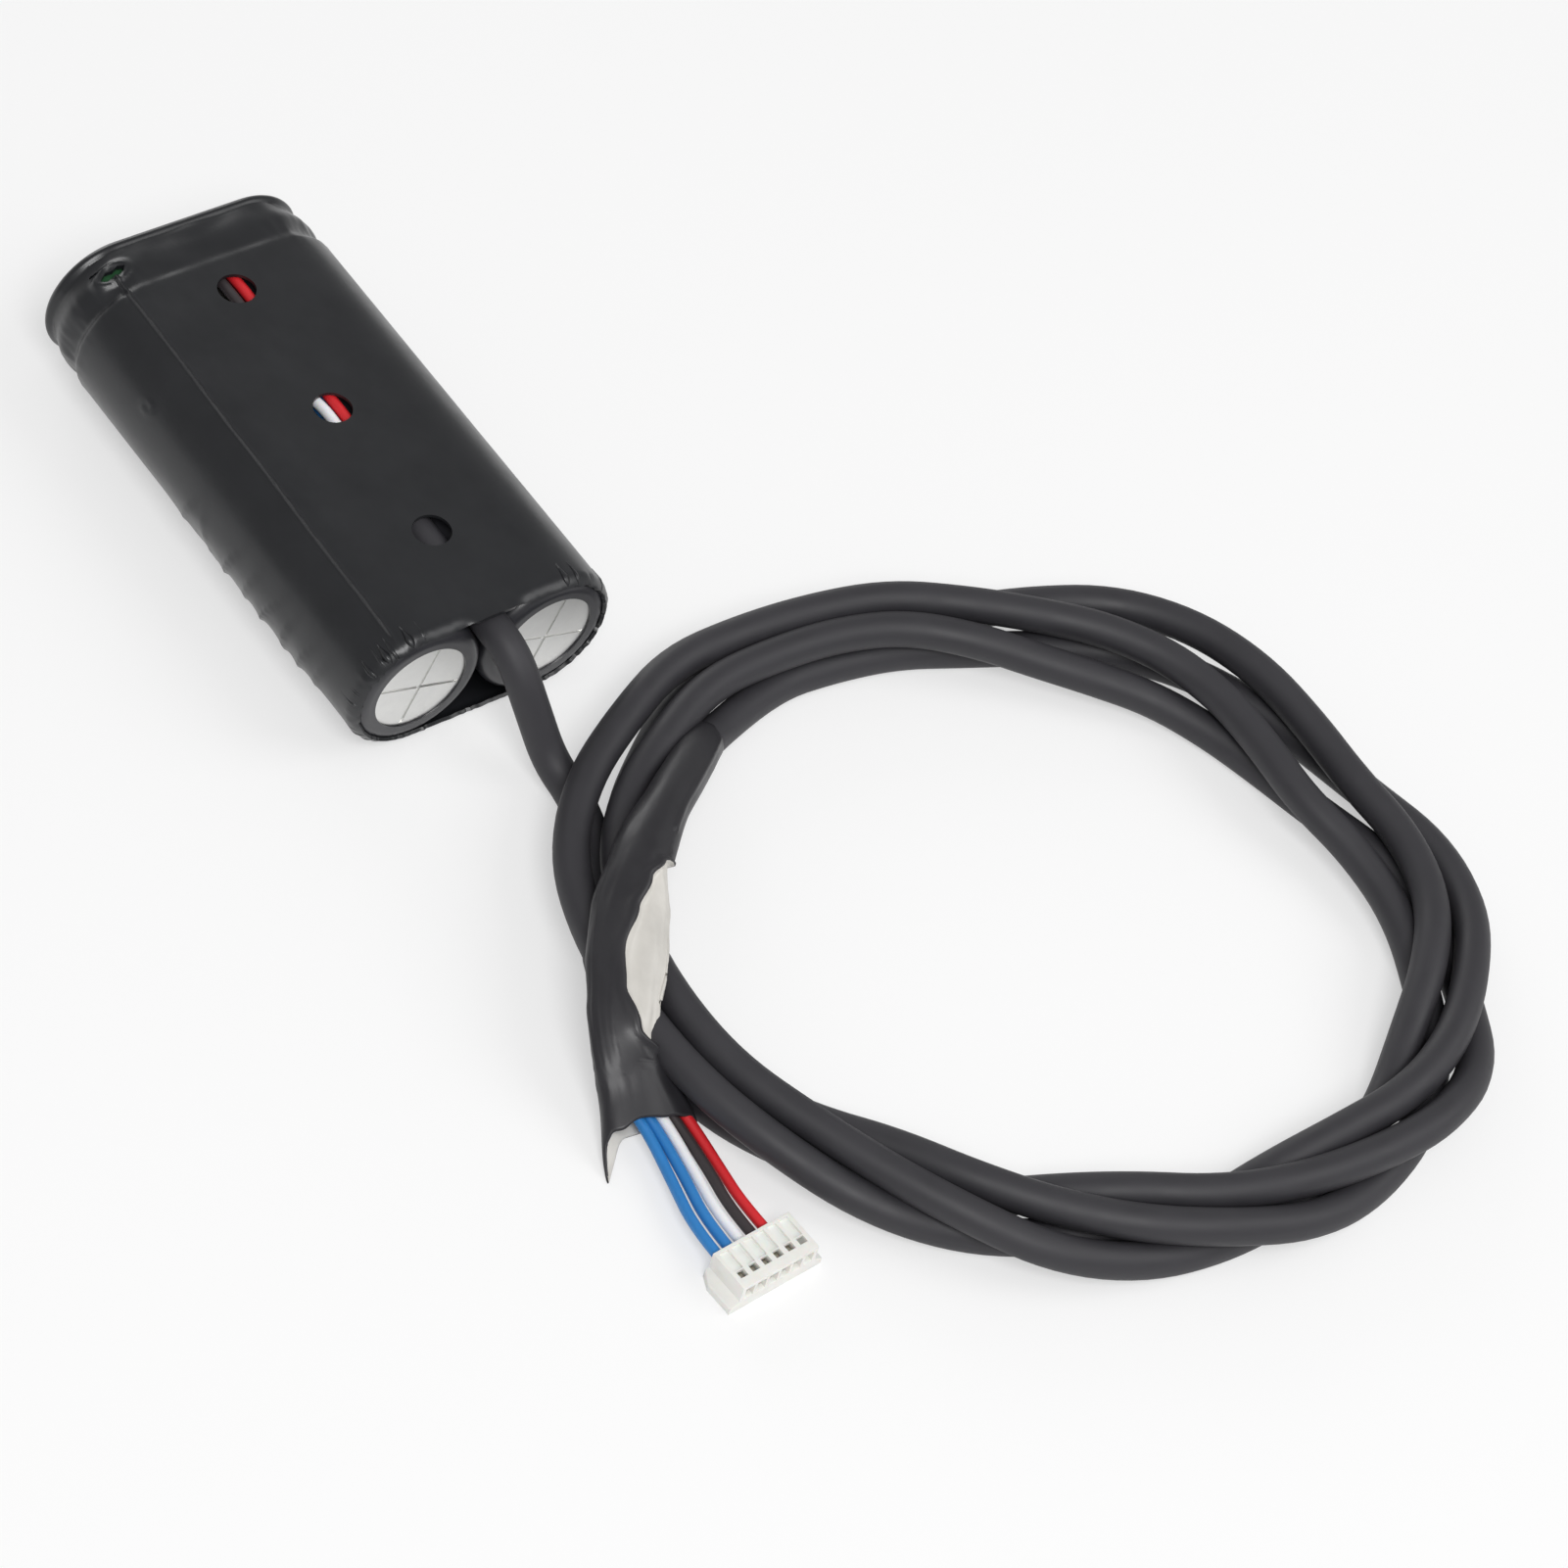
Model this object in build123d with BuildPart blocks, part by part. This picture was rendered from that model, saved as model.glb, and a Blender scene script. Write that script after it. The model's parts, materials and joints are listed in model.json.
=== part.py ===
"""Two-cell supercapacitor pack in a shrink sleeve, with a sheathed cable and a six-way plug.

Millimetres. X runs across the two cells, Y along them, with the cable leaving at -Y, and Z is
up. The pack lies on its flat side: the origin is the middle of its underside.
"""
import os
from math import cos, pi, radians, sin, tan

from build123d import *

# Cells: drawn aluminium cans in their own printed wrap
can_diameter = 12.4
can_length = 45.0
can_corner = 1.0
can_wall = 0.4
rim_roll = 0.6
bead_depth = 0.45
bead_from_end = 3.2
vent_width = 0.3
vent_depth = 0.15
vent_reach = 4.25
vent_turn = -17.0
wrap_thickness = 0.15
bare_disc_diameter = 9.1
cell_gap = 0.24
bung_length = 3.8
bung_boss = 0.5
lead_diameter = 0.7
lead_pitch = 5.0
lead_past_board = 0.6

# Shrink sleeve around both cells
sleeve_wall = 0.32
sleeve_curl_angle = 53.75
disc_set_back = 0.25
neck_depth = 0.42
bulge_depth = 0.15
end_groove_depth = 0.65
cap_depth = 0.3
end_opening_radius = 4.6
hole_diameter = 3.5
hole_pitch = 15.6
middle_hole = 0.1
crease_radius = 0.18
crease_angle = 24.5
tear_length = 2.6
tear_width = 0.9

# Link board and end plate behind the cells
board_thickness = 1.6
board_from_cells = 1.65
plate_from_board = 1.73
pad_radius = 0.9
solder_height = 0.5
end_plate_thickness = 0.6

# Cable: five wires in one shrink tube
cable_diameter = 3.2
wire_diameter = 1.0
sensor_diameter = 1.9
sensor_length = 3.6
cable_inside = 17.6
coil_height = 6.4
coil_edge = 2.2
sheath_wall = 0.3

# Plug: six chambers, five of them filled
way_count = 6
way_pitch = 1.25
plug_length = 4.0
plug_height = 3.0
plug_side_wall = 0.9
flange_reach = 0.9
flange_height = 1.2
chamber_width = 0.95
chamber_height = 1.3
rib_width = 0.35
rib_height = 0.3
window_length = 0.7
contact_width = 0.7
contact_height = 0.9
wire_depth_in_plug = 1.0
plug_wire_diameter = 0.85
plug_back = (-11.64, -82.93)
plug_turn = 3.7

# Clearances
film_gap = 0.03
sleeve_gap = 0.05
fit_gap = 0.02
cable_gap = 0.06

# Sizes that follow from the ones above
can_radius = can_diameter / 2
wrap_radius = can_radius + film_gap + wrap_thickness
cell_pitch = 2 * wrap_radius + cell_gap
sleeve_inside = wrap_radius + sleeve_gap
sleeve_radius = sleeve_inside + sleeve_wall
axis_height = sleeve_radius
sleeve_length = (disc_set_back + can_length + board_from_cells + board_thickness + plate_from_board
                 + end_plate_thickness + sleeve_gap + sleeve_wall)
near_rim = -sleeve_length / 2
far_rim = sleeve_length / 2
disc_y = near_rim + disc_set_back
can_end = disc_y + can_length
board_y = can_end + board_from_cells
board_back = board_y + board_thickness
end_plate_y = far_rim - sleeve_wall - sleeve_gap - end_plate_thickness
bead_y = can_end - bead_from_end
pocket_radius = can_radius - can_wall
pocket_y = can_end - rim_roll / 2 - bung_length
board_radius = sleeve_inside - neck_depth - sleeve_gap
wire_radius = wire_diameter / 2
cable_radius = cable_diameter / 2
cable_z = axis_height + sleeve_inside - cable_gap - cable_radius
cable_start = near_rim + cable_inside
sides = {"left": -cell_pitch / 2, "right": cell_pitch / 2}

# Where the five wires sit in the cable: one below, two at the sides, two on top
wire_circle = wire_radius / sin(pi / 5) * 1.04
wire_names = ("red", "white", "black", "blue_a", "blue_b")
wire_angles = dict(zip(wire_names, (54, 126, 198, 270, 342)))

# Cable routes, chosen by hand
lead_route = [
    (0.0, cable_start, cable_z),
    (0.0, near_rim - 4.6, cable_z),
    (0.7, -36.9, 2.7),
    (1.6, -45.2, cable_radius),
]
tail_route = [
    (11.3, -42.0, 5.0),
    (1.5, -47.3, 6.2),
    (-5.2, -52.6, 6.4),
]
# Sheath: width and height where it follows the cable's tail, then free stations to its mouth
sheath_on_tail = [(0.0, 3.9, 3.9), (0.5, 4.2, 3.9), (0.98, 5.5, 4.2)]
sheath_free = [((-9.7, -60.6, 4.1), 7.0, 3.5), ((-11.3, -69.1, 1.75), 8.2, 2.8)]
# The coil as it lies: half-way radius and half the spread of its turns, every 30 degrees from +X
coil_centre = (31.5, -65.9)
coil_middle = (31.0, 31.4, 29.8, 31.9, 35.4, 38.0, 36.6, 34.4, 33.9, 35.2, 36.8, 35.6)
coil_spread = (6.4, 5.6, 4.3, 3.2, 3.9, 4.1, 3.4, 3.4, 3.9, 3.3, 3.8, 3.7)

parts = []


def keep(builder, name):
    """Label a finished piece and put it on the list to be written."""
    builder.part.label = name
    parts.append(builder.part)


def across(y):
    """Plane across the pack at a station along it, seen from the cable's end."""
    return Plane.XZ.offset(-y)


def axis_of(x, direction=1):
    """A cell's axis."""
    return Axis((x, 0, axis_height), (0, direction, 0))


def beside(x):
    """Plane through a cell's axis: local X is the radius, local Y runs along the pack."""
    return Plane(origin=(x, 0, axis_height), x_dir=(1, 0, 0), z_dir=(0, 0, 1))


def beside_top(x):
    """Upright plane along the pack: local X is Y, local Y is the height over the axes."""
    return Plane(origin=(x, 0, axis_height), x_dir=(0, 1, 0), z_dir=(1, 0, 0))


def sleeve_section(x):
    """Section of the sleeve's wall along the pack: a curl, a straight, a neck, a bulge, a cap."""
    corner_y = disc_y + can_corner
    corner_r = can_radius - can_corner
    inner_curl = sleeve_inside - corner_r
    outer_curl = sleeve_radius - corner_r
    lip = radians(sleeve_curl_angle)

    def far_line(base):
        return [
            (can_end - 0.5, base),
            (can_end + 0.55, base - neck_depth),
            (board_y + board_thickness / 2, base - bulge_depth),
            (end_plate_y - 0.3, base - end_groove_depth),
            (end_plate_y + end_plate_thickness / 2, base - cap_depth),
        ]

    def lip_point(curl):
        return (corner_y - curl * sin(lip), corner_r + curl * cos(lip))

    def curl_middle(curl):
        return (corner_y - curl * sin(lip / 2), corner_r + curl * cos(lip / 2))

    outside, inside = far_line(sleeve_radius), far_line(sleeve_inside)
    turn = sleeve_wall
    with BuildSketch(beside_top(x)) as section:
        with BuildLine():
            ThreePointArc(lip_point(outer_curl), curl_middle(outer_curl),
                          (corner_y, sleeve_radius))
            Line((corner_y, sleeve_radius), outside[0])
            Spline(*outside, tangents=((1, 0), (1, 0)))
            RadiusArc(outside[-1], (far_rim, outside[-1][1] - 2 * turn), 2 * turn)
            Line((far_rim, outside[-1][1] - 2 * turn), (far_rim, end_opening_radius))
            Line((far_rim, end_opening_radius), (far_rim - turn, end_opening_radius))
            Line((far_rim - turn, end_opening_radius), (far_rim - turn, inside[-1][1] - turn))
            Line((far_rim - turn, inside[-1][1] - turn), inside[-1])
            Spline(*inside[::-1], tangents=((-1, 0), (-1, 0)))
            Line(inside[0], (corner_y, sleeve_inside))
            ThreePointArc((corner_y, sleeve_inside), curl_middle(inner_curl),
                          lip_point(inner_curl))
            Line(lip_point(inner_curl), lip_point(outer_curl))
        make_face()
    return section.sketch


with BuildPart() as outer_sleeve:
    extrude(sleeve_section(0), amount=cell_pitch / 2, both=True)
    mirror(about=Plane.XY.offset(axis_height))
    for side_x in sides.values():
        revolve(sleeve_section(side_x), axis=axis_of(side_x, 1 if side_x > 0 else -1),
                revolution_arc=180)
    # Three punched holes over the wires
    with BuildSketch(Plane.XY.offset(axis_height)):
        with Locations(*[(0, middle_hole + step * hole_pitch) for step in (-1, 0, 1)]):
            Circle(hole_diameter / 2)
    extrude(amount=sleeve_radius + 1, mode=Mode.SUBTRACT)
    # The rim is lifted over the cable
    with BuildSketch(across(near_rim - 1)):
        with Locations((0, cable_z)):
            Circle(cable_radius + cable_gap)
    extrude(amount=-can_corner - 1.5, mode=Mode.SUBTRACT)
    # Crease that the flattened tube left on the left shoulder
    crease_x = sides["left"] - sleeve_radius * sin(radians(crease_angle))
    crease_z = axis_height + sleeve_radius * cos(radians(crease_angle))
    with BuildSketch(across(disc_y + can_corner)):
        with Locations((crease_x, crease_z)):
            Circle(crease_radius)
    extrude(amount=-(can_end - 0.6 - disc_y - can_corner))
    # Small tear where the crease ends, over the board
    with BuildSketch(Plane.XY.offset(axis_height)):
        with Locations((crease_x - 0.3, board_y + board_thickness / 2)):
            SlotOverall(tear_length, tear_width)
    extrude(amount=sleeve_radius + 1, mode=Mode.SUBTRACT)
keep(outer_sleeve, "outer_sleeve")

for side, side_x in sides.items():
    with BuildPart() as can:
        with BuildSketch(beside(side_x)):
            with BuildLine():
                Line((0, disc_y), (can_radius - can_corner, disc_y))
                RadiusArc((can_radius - can_corner, disc_y), (can_radius, disc_y + can_corner),
                          -can_corner)
                Line((can_radius, disc_y + can_corner), (can_radius, bead_y - bead_depth))
                ThreePointArc((can_radius, bead_y - bead_depth),
                              (can_radius - bead_depth, bead_y),
                              (can_radius, bead_y + bead_depth))
                Line((can_radius, bead_y + bead_depth), (can_radius, can_end - rim_roll))
                RadiusArc((can_radius, can_end - rim_roll), (can_radius - rim_roll, can_end),
                          -rim_roll)
                Line((can_radius - rim_roll, can_end), (pocket_radius - rim_roll, can_end))
                Line((pocket_radius - rim_roll, can_end),
                     (pocket_radius - rim_roll, can_end - rim_roll / 2))
                Line((pocket_radius - rim_roll, can_end - rim_roll / 2),
                     (pocket_radius, can_end - rim_roll / 2))
                Line((pocket_radius, can_end - rim_roll / 2), (pocket_radius, bead_y + bead_depth))
                ThreePointArc((pocket_radius, bead_y + bead_depth),
                              (pocket_radius - bead_depth, bead_y),
                              (pocket_radius, bead_y - bead_depth))
                Line((pocket_radius, bead_y - bead_depth), (pocket_radius, pocket_y))
                Line((pocket_radius, pocket_y), (0, pocket_y))
                Line((0, pocket_y), (0, disc_y))
            make_face()
        revolve(axis=axis_of(side_x))
        # Scored cross that lets the can vent
        with BuildSketch(across(disc_y)):
            with Locations((side_x, axis_height)):
                Rectangle(2 * vent_reach, vent_width, rotation=vent_turn)
                Rectangle(vent_width, 2 * vent_reach, rotation=vent_turn)
        extrude(amount=-vent_depth, mode=Mode.SUBTRACT)
    keep(can, f"cell_can_{side}")

    with BuildPart() as wrap:
        bore = can_radius + film_gap
        near_corner = can_corner + film_gap
        far_corner = rim_roll + film_gap
        with BuildSketch(beside(side_x)):
            with BuildLine():
                inner = FilletPolyline(
                    (bare_disc_diameter / 2, disc_y - film_gap), (bore, disc_y - film_gap),
                    (bore, can_end + film_gap), (can_radius - 1.5 * rim_roll, can_end + film_gap),
                    radius=[near_corner, far_corner])
                offset(inner, amount=wrap_thickness, side=Side.RIGHT, closed=True)
            make_face()
        revolve(axis=axis_of(side_x))
    keep(wrap, f"cell_wrap_{side}")

    lead_spots = [(side_x - lead_pitch / 2, axis_height), (side_x + lead_pitch / 2, axis_height)]
    with BuildPart() as bung:
        rubber = pocket_radius - fit_gap
        bung_top = can_end - rim_roll / 2 - fit_gap
        with BuildSketch(beside(side_x)):
            with BuildLine():
                Line((0, pocket_y + fit_gap), (rubber, pocket_y + fit_gap))
                Line((rubber, pocket_y + fit_gap), (rubber, bead_y - bead_depth))
                ThreePointArc((rubber, bead_y - bead_depth), (rubber - bead_depth, bead_y),
                              (rubber, bead_y + bead_depth))
                Line((rubber, bead_y + bead_depth), (rubber, bung_top))
                Line((rubber, bung_top), (rubber - rim_roll - fit_gap, bung_top))
                Line((rubber - rim_roll - fit_gap, bung_top),
                     (rubber - rim_roll - 2 * bung_boss, bung_top + bung_boss))
                Line((rubber - rim_roll - 2 * bung_boss, bung_top + bung_boss),
                     (0, bung_top + bung_boss))
                Line((0, bung_top + bung_boss), (0, pocket_y + fit_gap))
            make_face()
        revolve(axis=axis_of(side_x))
        with BuildSketch(across(pocket_y)):
            with Locations(*lead_spots):
                Circle(lead_diameter / 2 + fit_gap)
        extrude(amount=-2 * bung_length, mode=Mode.SUBTRACT)
    keep(bung, f"cell_bung_{side}")

    with BuildPart() as leads:
        with BuildSketch(across(pocket_y + fit_gap)):
            with Locations(*lead_spots):
                Circle(lead_diameter / 2)
        extrude(amount=-(board_back + lead_past_board - pocket_y - fit_gap))
    keep(leads, f"cell_leads_{side}")

# Wire routes inside the pack, from the board to the end of the cable's tube


def wire_seat(name):
    """Place of one wire in the cable's cut end."""
    angle = radians(wire_angles[name])
    return (wire_circle * cos(angle), cable_start, cable_z + wire_circle * sin(angle))


def along(share):
    """Station between the cable's cut end, at 0, and the board, at 1."""
    return cable_start + share * (board_y - cable_start)


top_z = axis_height + sleeve_inside - cable_gap - wire_radius
board_z = top_z - 0.6
sensor_z = cable_z - 0.95
sensor_near = along(0.785)
wire_end_y = board_y - 0.1
inner_routes = {
    "red": [(1.0, wire_end_y, board_z), (1.05, along(0.87), top_z), (1.0, along(0.19), top_z - 0.05),
            wire_seat("red")],
    "black": [(-0.2, wire_end_y, board_z), (-0.25, along(0.87), top_z), (-0.2, along(0.72), top_z - 0.05),
              (-0.86, along(0.51), cable_z - 0.26), wire_seat("black")],
    "white": [(-1.6, wire_end_y, board_z - 0.1), (-1.65, along(0.495), top_z - 0.5),
              (-0.2, along(0.34), top_z), (-0.25, along(0.19), top_z - 0.05), wire_seat("white")],
    "blue_a": [(-0.42, sensor_near, sensor_z - 0.1), (0.0, along(0.58), cable_z - 0.85),
               wire_seat("blue_a")],
    "blue_b": [(0.6, sensor_near, sensor_z + 0.15), (0.86, along(0.58), cable_z - 0.25),
               wire_seat("blue_b")],
}


def bend_radii(route):
    """Radius at each corner: as large as the two runs beside it allow."""
    points = [Vector(*point) for point in route]
    radii = []
    for before, here, after in zip(points, points[1:], points[2:]):
        turn = radians((here - before).get_angle(after - here))
        radii.append(0.45 * min((here - before).length, (after - here).length) / tan(turn / 2))
    return radii


def centre_line(route):
    """Straight runs joined by tangent arcs."""
    with BuildLine() as path:
        FilletPolyline(*route, radius=bend_radii(route))
    return path.wire()


def tube(route, diameter, name):
    """Sweep a round section along a route."""
    radii = bend_radii(route)
    path = centre_line(route)
    with BuildPart() as piece:
        with BuildSketch(path ^ 0):
            Circle(diameter / 2)
        sweep(path=path)
    length = path.length
    expected = pi * diameter ** 2 / 4 * length
    print(name, "length", round(length, 2), "radii", [round(r, 1) for r in radii],
          "volume over section times length", round(piece.part.volume / expected, 4))
    return piece


for name, route in inner_routes.items():
    keep(tube(route, wire_diameter, f"inner_wire_{name}"), f"inner_wire_{name}")

# Bead of the temperature sensor, lying in the valley between the cells
with BuildPart() as sensor:
    with BuildSketch(across(sensor_near)):
        with Locations((0, sensor_z)):
            Circle(sensor_diameter / 2)
    extrude(amount=-sensor_length)
    fillet(sensor.faces().sort_by(Axis.Y)[-1].edges(), sensor_diameter / 2.4)
keep(sensor, "temperature_sensor")

board_wires = [(inner_routes[name][0][0], inner_routes[name][0][2])
               for name in ("red", "black", "white")]
all_leads = [(x + step * lead_pitch / 2, axis_height) for x in sides.values() for step in (-1, 1)]
with BuildPart() as link_board:
    with BuildSketch(across(board_y)):
        with Locations((0, axis_height)):
            SlotCenterToCenter(cell_pitch, 2 * board_radius)
        with Locations(*all_leads):
            Circle(lead_diameter / 2 + fit_gap, mode=Mode.SUBTRACT)
    extrude(amount=-board_thickness)
keep(link_board, "link_board")

with BuildPart() as solder:
    with BuildSketch(across(board_back)):
        with Locations(*all_leads):
            Circle(pad_radius)
            Circle(lead_diameter / 2 + fit_gap, mode=Mode.SUBTRACT)
        with Locations(*board_wires):
            Circle(wire_radius)
    extrude(amount=-solder_height, taper=30)
keep(solder, "solder_joints")

with BuildPart() as end_plate:
    with BuildSketch(across(end_plate_y)):
        with Locations((0, axis_height)):
            SlotCenterToCenter(cell_pitch, 2 * (sleeve_inside - end_groove_depth - sleeve_gap))
    extrude(amount=-end_plate_thickness)
keep(end_plate, "end_plate")

# Plug, in its own frame: local X across the ways, local Y back towards the wires
plug_frame = Plane(origin=(*plug_back, 0), x_dir=(cos(radians(plug_turn)), sin(radians(plug_turn)), 0),
                   z_dir=(0, 0, 1))
body_width = way_count * way_pitch + plug_side_wall / 2
way_x = [way_pitch * (way - (way_count - 1) / 2) for way in range(way_count)]
chamber_z = flange_height + 0.1
filled = dict(zip(("blue_a", "blue_b", "white", "black", "red"), way_x))


def plug_plane(back, lift=0.0):
    """Plane across the plug, a distance in front of its wire face, facing the wires."""
    origin = plug_frame.from_local_coords((0, -back, lift))
    return Plane(origin=origin, x_dir=plug_frame.x_dir, z_dir=-plug_frame.y_dir)


with BuildPart() as plug:
    with BuildSketch(plug_plane(0)):
        with BuildLine():
            Polyline(
                (-body_width / 2 - flange_reach, 0), (body_width / 2 + flange_reach, 0),
                (body_width / 2 + flange_reach, flange_height * 0.6),
                (body_width / 2, flange_height), (body_width / 2, plug_height),
                (-body_width / 2, plug_height), (-body_width / 2, flange_height),
                (-body_width / 2 - flange_reach, flange_height * 0.6), close=True)
        make_face()
    extrude(amount=plug_length)
    # The flange narrows towards the wires
    with BuildSketch(plug_frame):
        for end in (-1, 1):
            with BuildLine():
                Polyline(
                    (end * (body_width / 2 + flange_reach + 1), 1),
                    (end * (body_width / 2 + flange_reach * 0.35), 1),
                    (end * (body_width / 2 + flange_reach * 0.35), 0),
                    (end * (body_width / 2 + flange_reach), -plug_length * 0.3),
                    (end * (body_width / 2 + flange_reach + 1), -plug_length * 0.3), close=True)
            make_face()
    extrude(amount=plug_height, mode=Mode.SUBTRACT)
    # Chambers run through from the wires to the mating face
    with BuildSketch(plug_plane(0)):
        with Locations(*[(x, chamber_z + chamber_height / 2) for x in way_x]):
            Rectangle(chamber_width, chamber_height)
    extrude(amount=plug_length, mode=Mode.SUBTRACT)
    # Roof lowered between the ribs, and the window row over the contacts
    with BuildSketch(Plane(origin=plug_frame.from_local_coords((0, 0, plug_height)),
                           x_dir=plug_frame.x_dir, z_dir=(0, 0, 1))):
        with Locations(*[(x, -plug_length * 0.32) for x in way_x]):
            Rectangle(way_pitch - rib_width, plug_length * 0.5)
    extrude(amount=-rib_height, mode=Mode.SUBTRACT)
    with BuildSketch(Plane(origin=plug_frame.from_local_coords((0, 0, plug_height)),
                           x_dir=plug_frame.x_dir, z_dir=(0, 0, 1))):
        with Locations(*[(x, -plug_length * 0.68) for x in way_x]):
            Rectangle(chamber_width * 0.8, window_length)
    extrude(amount=-(plug_height - chamber_z - chamber_height), mode=Mode.SUBTRACT)
keep(plug, "plug_housing")

with BuildPart() as contacts:
    with BuildSketch(plug_plane(wire_depth_in_plug)):
        with Locations(*[(x, chamber_z + chamber_height / 2) for x in filled.values()]):
            Rectangle(contact_width, contact_height)
    extrude(amount=plug_length - wire_depth_in_plug - 0.4)
    # Each contact's box is open towards the mating face
    with BuildSketch(plug_plane(plug_length - 0.4)):
        with Locations(*[(x, chamber_z + chamber_height / 2) for x in filled.values()]):
            Rectangle(contact_width - 0.3, contact_height - 0.3)
    extrude(amount=-1.4, mode=Mode.SUBTRACT)
keep(contacts, "plug_contacts")

# Sheath over the cable's end: a film tube that widens and flattens towards its mouth


def sheath_stations():
    """Middle, direction, width and height of each section of the sheath."""
    path = centre_line(tail_route)
    stations = [(path @ t, path % t, width, height) for t, width, height in sheath_on_tail]
    middles = [stations[-1][0]] + [Vector(*middle) for middle, width, height in sheath_free]
    for place, (middle, width, height) in enumerate(sheath_free, start=1):
        after = middles[min(place + 1, len(middles) - 1)]
        stations.append((middles[place], after - middles[place - 1], width, height))
    return stations


def sheath_form(inset):
    """The sheath's flattened sections, lofted along its stations."""
    with BuildPart() as form:
        for middle, ahead, width, height in sheath_stations():
            level = Vector(0, 0, 1).cross(ahead).normalized()
            with BuildSketch(Plane(origin=middle, x_dir=level, z_dir=ahead.normalized())):
                Ellipse(width / 2 - inset, height / 2 - inset)
        loft()
    return form.part


tail = tube(tail_route, cable_diameter, "cable_tail")
keep(tail, "cable_tail")
sheath_envelope = sheath_form(0)
with BuildPart() as sheath:
    add(sheath_envelope)
    add(sheath_form(sheath_wall), mode=Mode.SUBTRACT)
    add(tail.part, mode=Mode.SUBTRACT)
keep(sheath, "end_sheath")

# The coil's turns, as one body of their outer shape


def coil_outline(side):
    """Points round the coil's outer edge, side 1, or its inner edge, side -1."""
    points = []
    for place, (middle, spread) in enumerate(zip(coil_middle, coil_spread)):
        angle = 2 * pi * place / len(coil_middle)
        reach = middle + side * spread
        points.append((coil_centre[0] + reach * cos(angle), coil_centre[1] + reach * sin(angle)))
    return points


with BuildPart() as coil:
    with BuildSketch():
        with BuildLine():
            Spline(*coil_outline(1), periodic=True)
        make_face()
        with BuildLine():
            Spline(*coil_outline(-1), periodic=True)
        make_face(mode=Mode.SUBTRACT)
    extrude(amount=coil_height)
    fillet(coil.edges().filter_by(Plane.XY), coil_edge)
    add(sheath_envelope, mode=Mode.SUBTRACT)
    add(tail.part, mode=Mode.SUBTRACT)
keep(coil, "cable_coil")

lead = tube(lead_route, cable_diameter, "cable_lead")
with BuildPart() as lead_in:
    add(lead.part)
    add(coil.part, mode=Mode.SUBTRACT)
keep(lead_in, "cable_lead")

# Wires from the cable's cut end, through the sheath, into the plug
tail_end = Vector(*tail_route[-1])
tail_ahead = (tail_end - Vector(*tail_route[-2])).normalized()
tail_level = Vector(0, 0, 1).cross(tail_ahead).normalized()
tail_up = tail_ahead.cross(tail_level)
row_order = ("blue_a", "blue_b", "white", "black", "red")
row_angles = dict(zip(row_order, (198, 126, 270, 60, 338)))
wire_z = chamber_z + chamber_height / 2
row_level = Vector(cos(radians(20)), -sin(radians(20)), 0)
for place, name in enumerate(row_order):
    angle = radians(row_angles[name])
    seat = tail_end + tail_level * wire_circle * cos(angle) + tail_up * wire_circle * sin(angle)
    spread = (place - 2) * way_pitch
    into_plug = plug_frame.from_local_coords((filled[name], -wire_depth_in_plug, wire_z))
    before_plug = plug_frame.from_local_coords((filled[name], 3.5, wire_z))
    route = [
        tuple(seat),
        tuple(seat + tail_ahead * 2.5),
        tuple(Vector(-9.9, -61.2, 3.9) + row_level * spread),
        (-11.2 + spread, -69.4, 1.75),
        tuple(before_plug),
        tuple(into_plug),
    ]
    keep(tube(route, plug_wire_diameter, f"plug_wire_{name}"), f"plug_wire_{name}")

os.makedirs("parts", exist_ok=True)
for part in parts:
    export_step(part, f"parts/{part.label}.step")
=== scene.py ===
"""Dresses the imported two-cell supercapacitor module: shrink sleeve, coiled cable, film sheath, plug.

X runs across the two cells, Y along them, Z is up, and the pack lies on its flat side over the
origin, as in the frame. Objects are in metres. Tables and inner working are in millimetres.
"""
import json
from math import asin, cos, exp, hypot, pi, radians, sin

import bmesh
import bpy
from mathutils import Matrix, Vector, noise

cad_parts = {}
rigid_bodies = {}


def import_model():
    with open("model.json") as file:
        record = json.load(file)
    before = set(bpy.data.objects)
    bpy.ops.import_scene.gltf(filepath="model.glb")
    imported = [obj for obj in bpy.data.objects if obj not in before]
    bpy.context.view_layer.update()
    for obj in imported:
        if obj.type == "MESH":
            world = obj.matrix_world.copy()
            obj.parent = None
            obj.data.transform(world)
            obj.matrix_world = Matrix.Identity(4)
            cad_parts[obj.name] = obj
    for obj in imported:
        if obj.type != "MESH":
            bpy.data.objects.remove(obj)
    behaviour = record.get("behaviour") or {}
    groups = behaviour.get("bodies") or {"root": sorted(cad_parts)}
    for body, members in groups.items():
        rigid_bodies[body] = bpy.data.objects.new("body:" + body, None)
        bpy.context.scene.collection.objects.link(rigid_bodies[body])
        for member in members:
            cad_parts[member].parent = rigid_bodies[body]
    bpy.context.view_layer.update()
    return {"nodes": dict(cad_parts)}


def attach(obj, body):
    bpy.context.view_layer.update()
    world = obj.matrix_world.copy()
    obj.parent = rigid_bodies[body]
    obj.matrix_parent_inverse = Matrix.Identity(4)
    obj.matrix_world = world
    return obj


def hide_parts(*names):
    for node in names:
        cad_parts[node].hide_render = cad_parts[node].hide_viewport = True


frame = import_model()

bl_info = {
    "name": "Supercapacitor module",
    "version": (1, 0, 0),
    "blender": (4, 5, 0),
    "location": "3D View > Sidebar > Module",
    "description": "Builds the sleeve, cable, sheath and plug of a two-cell supercapacitor module",
    "category": "Object",
}

MM = 0.001
UP = Vector((0, 0, 1))


def linear(code):
    """A colour written as sRGB hex, as linear red, green and blue."""
    channels = [int(code[place:place + 2], 16) / 255 for place in (1, 3, 5)]
    return tuple(c / 12.92 if c <= 0.04045 else ((c + 0.055) / 1.055) ** 2.4 for c in channels)


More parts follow.
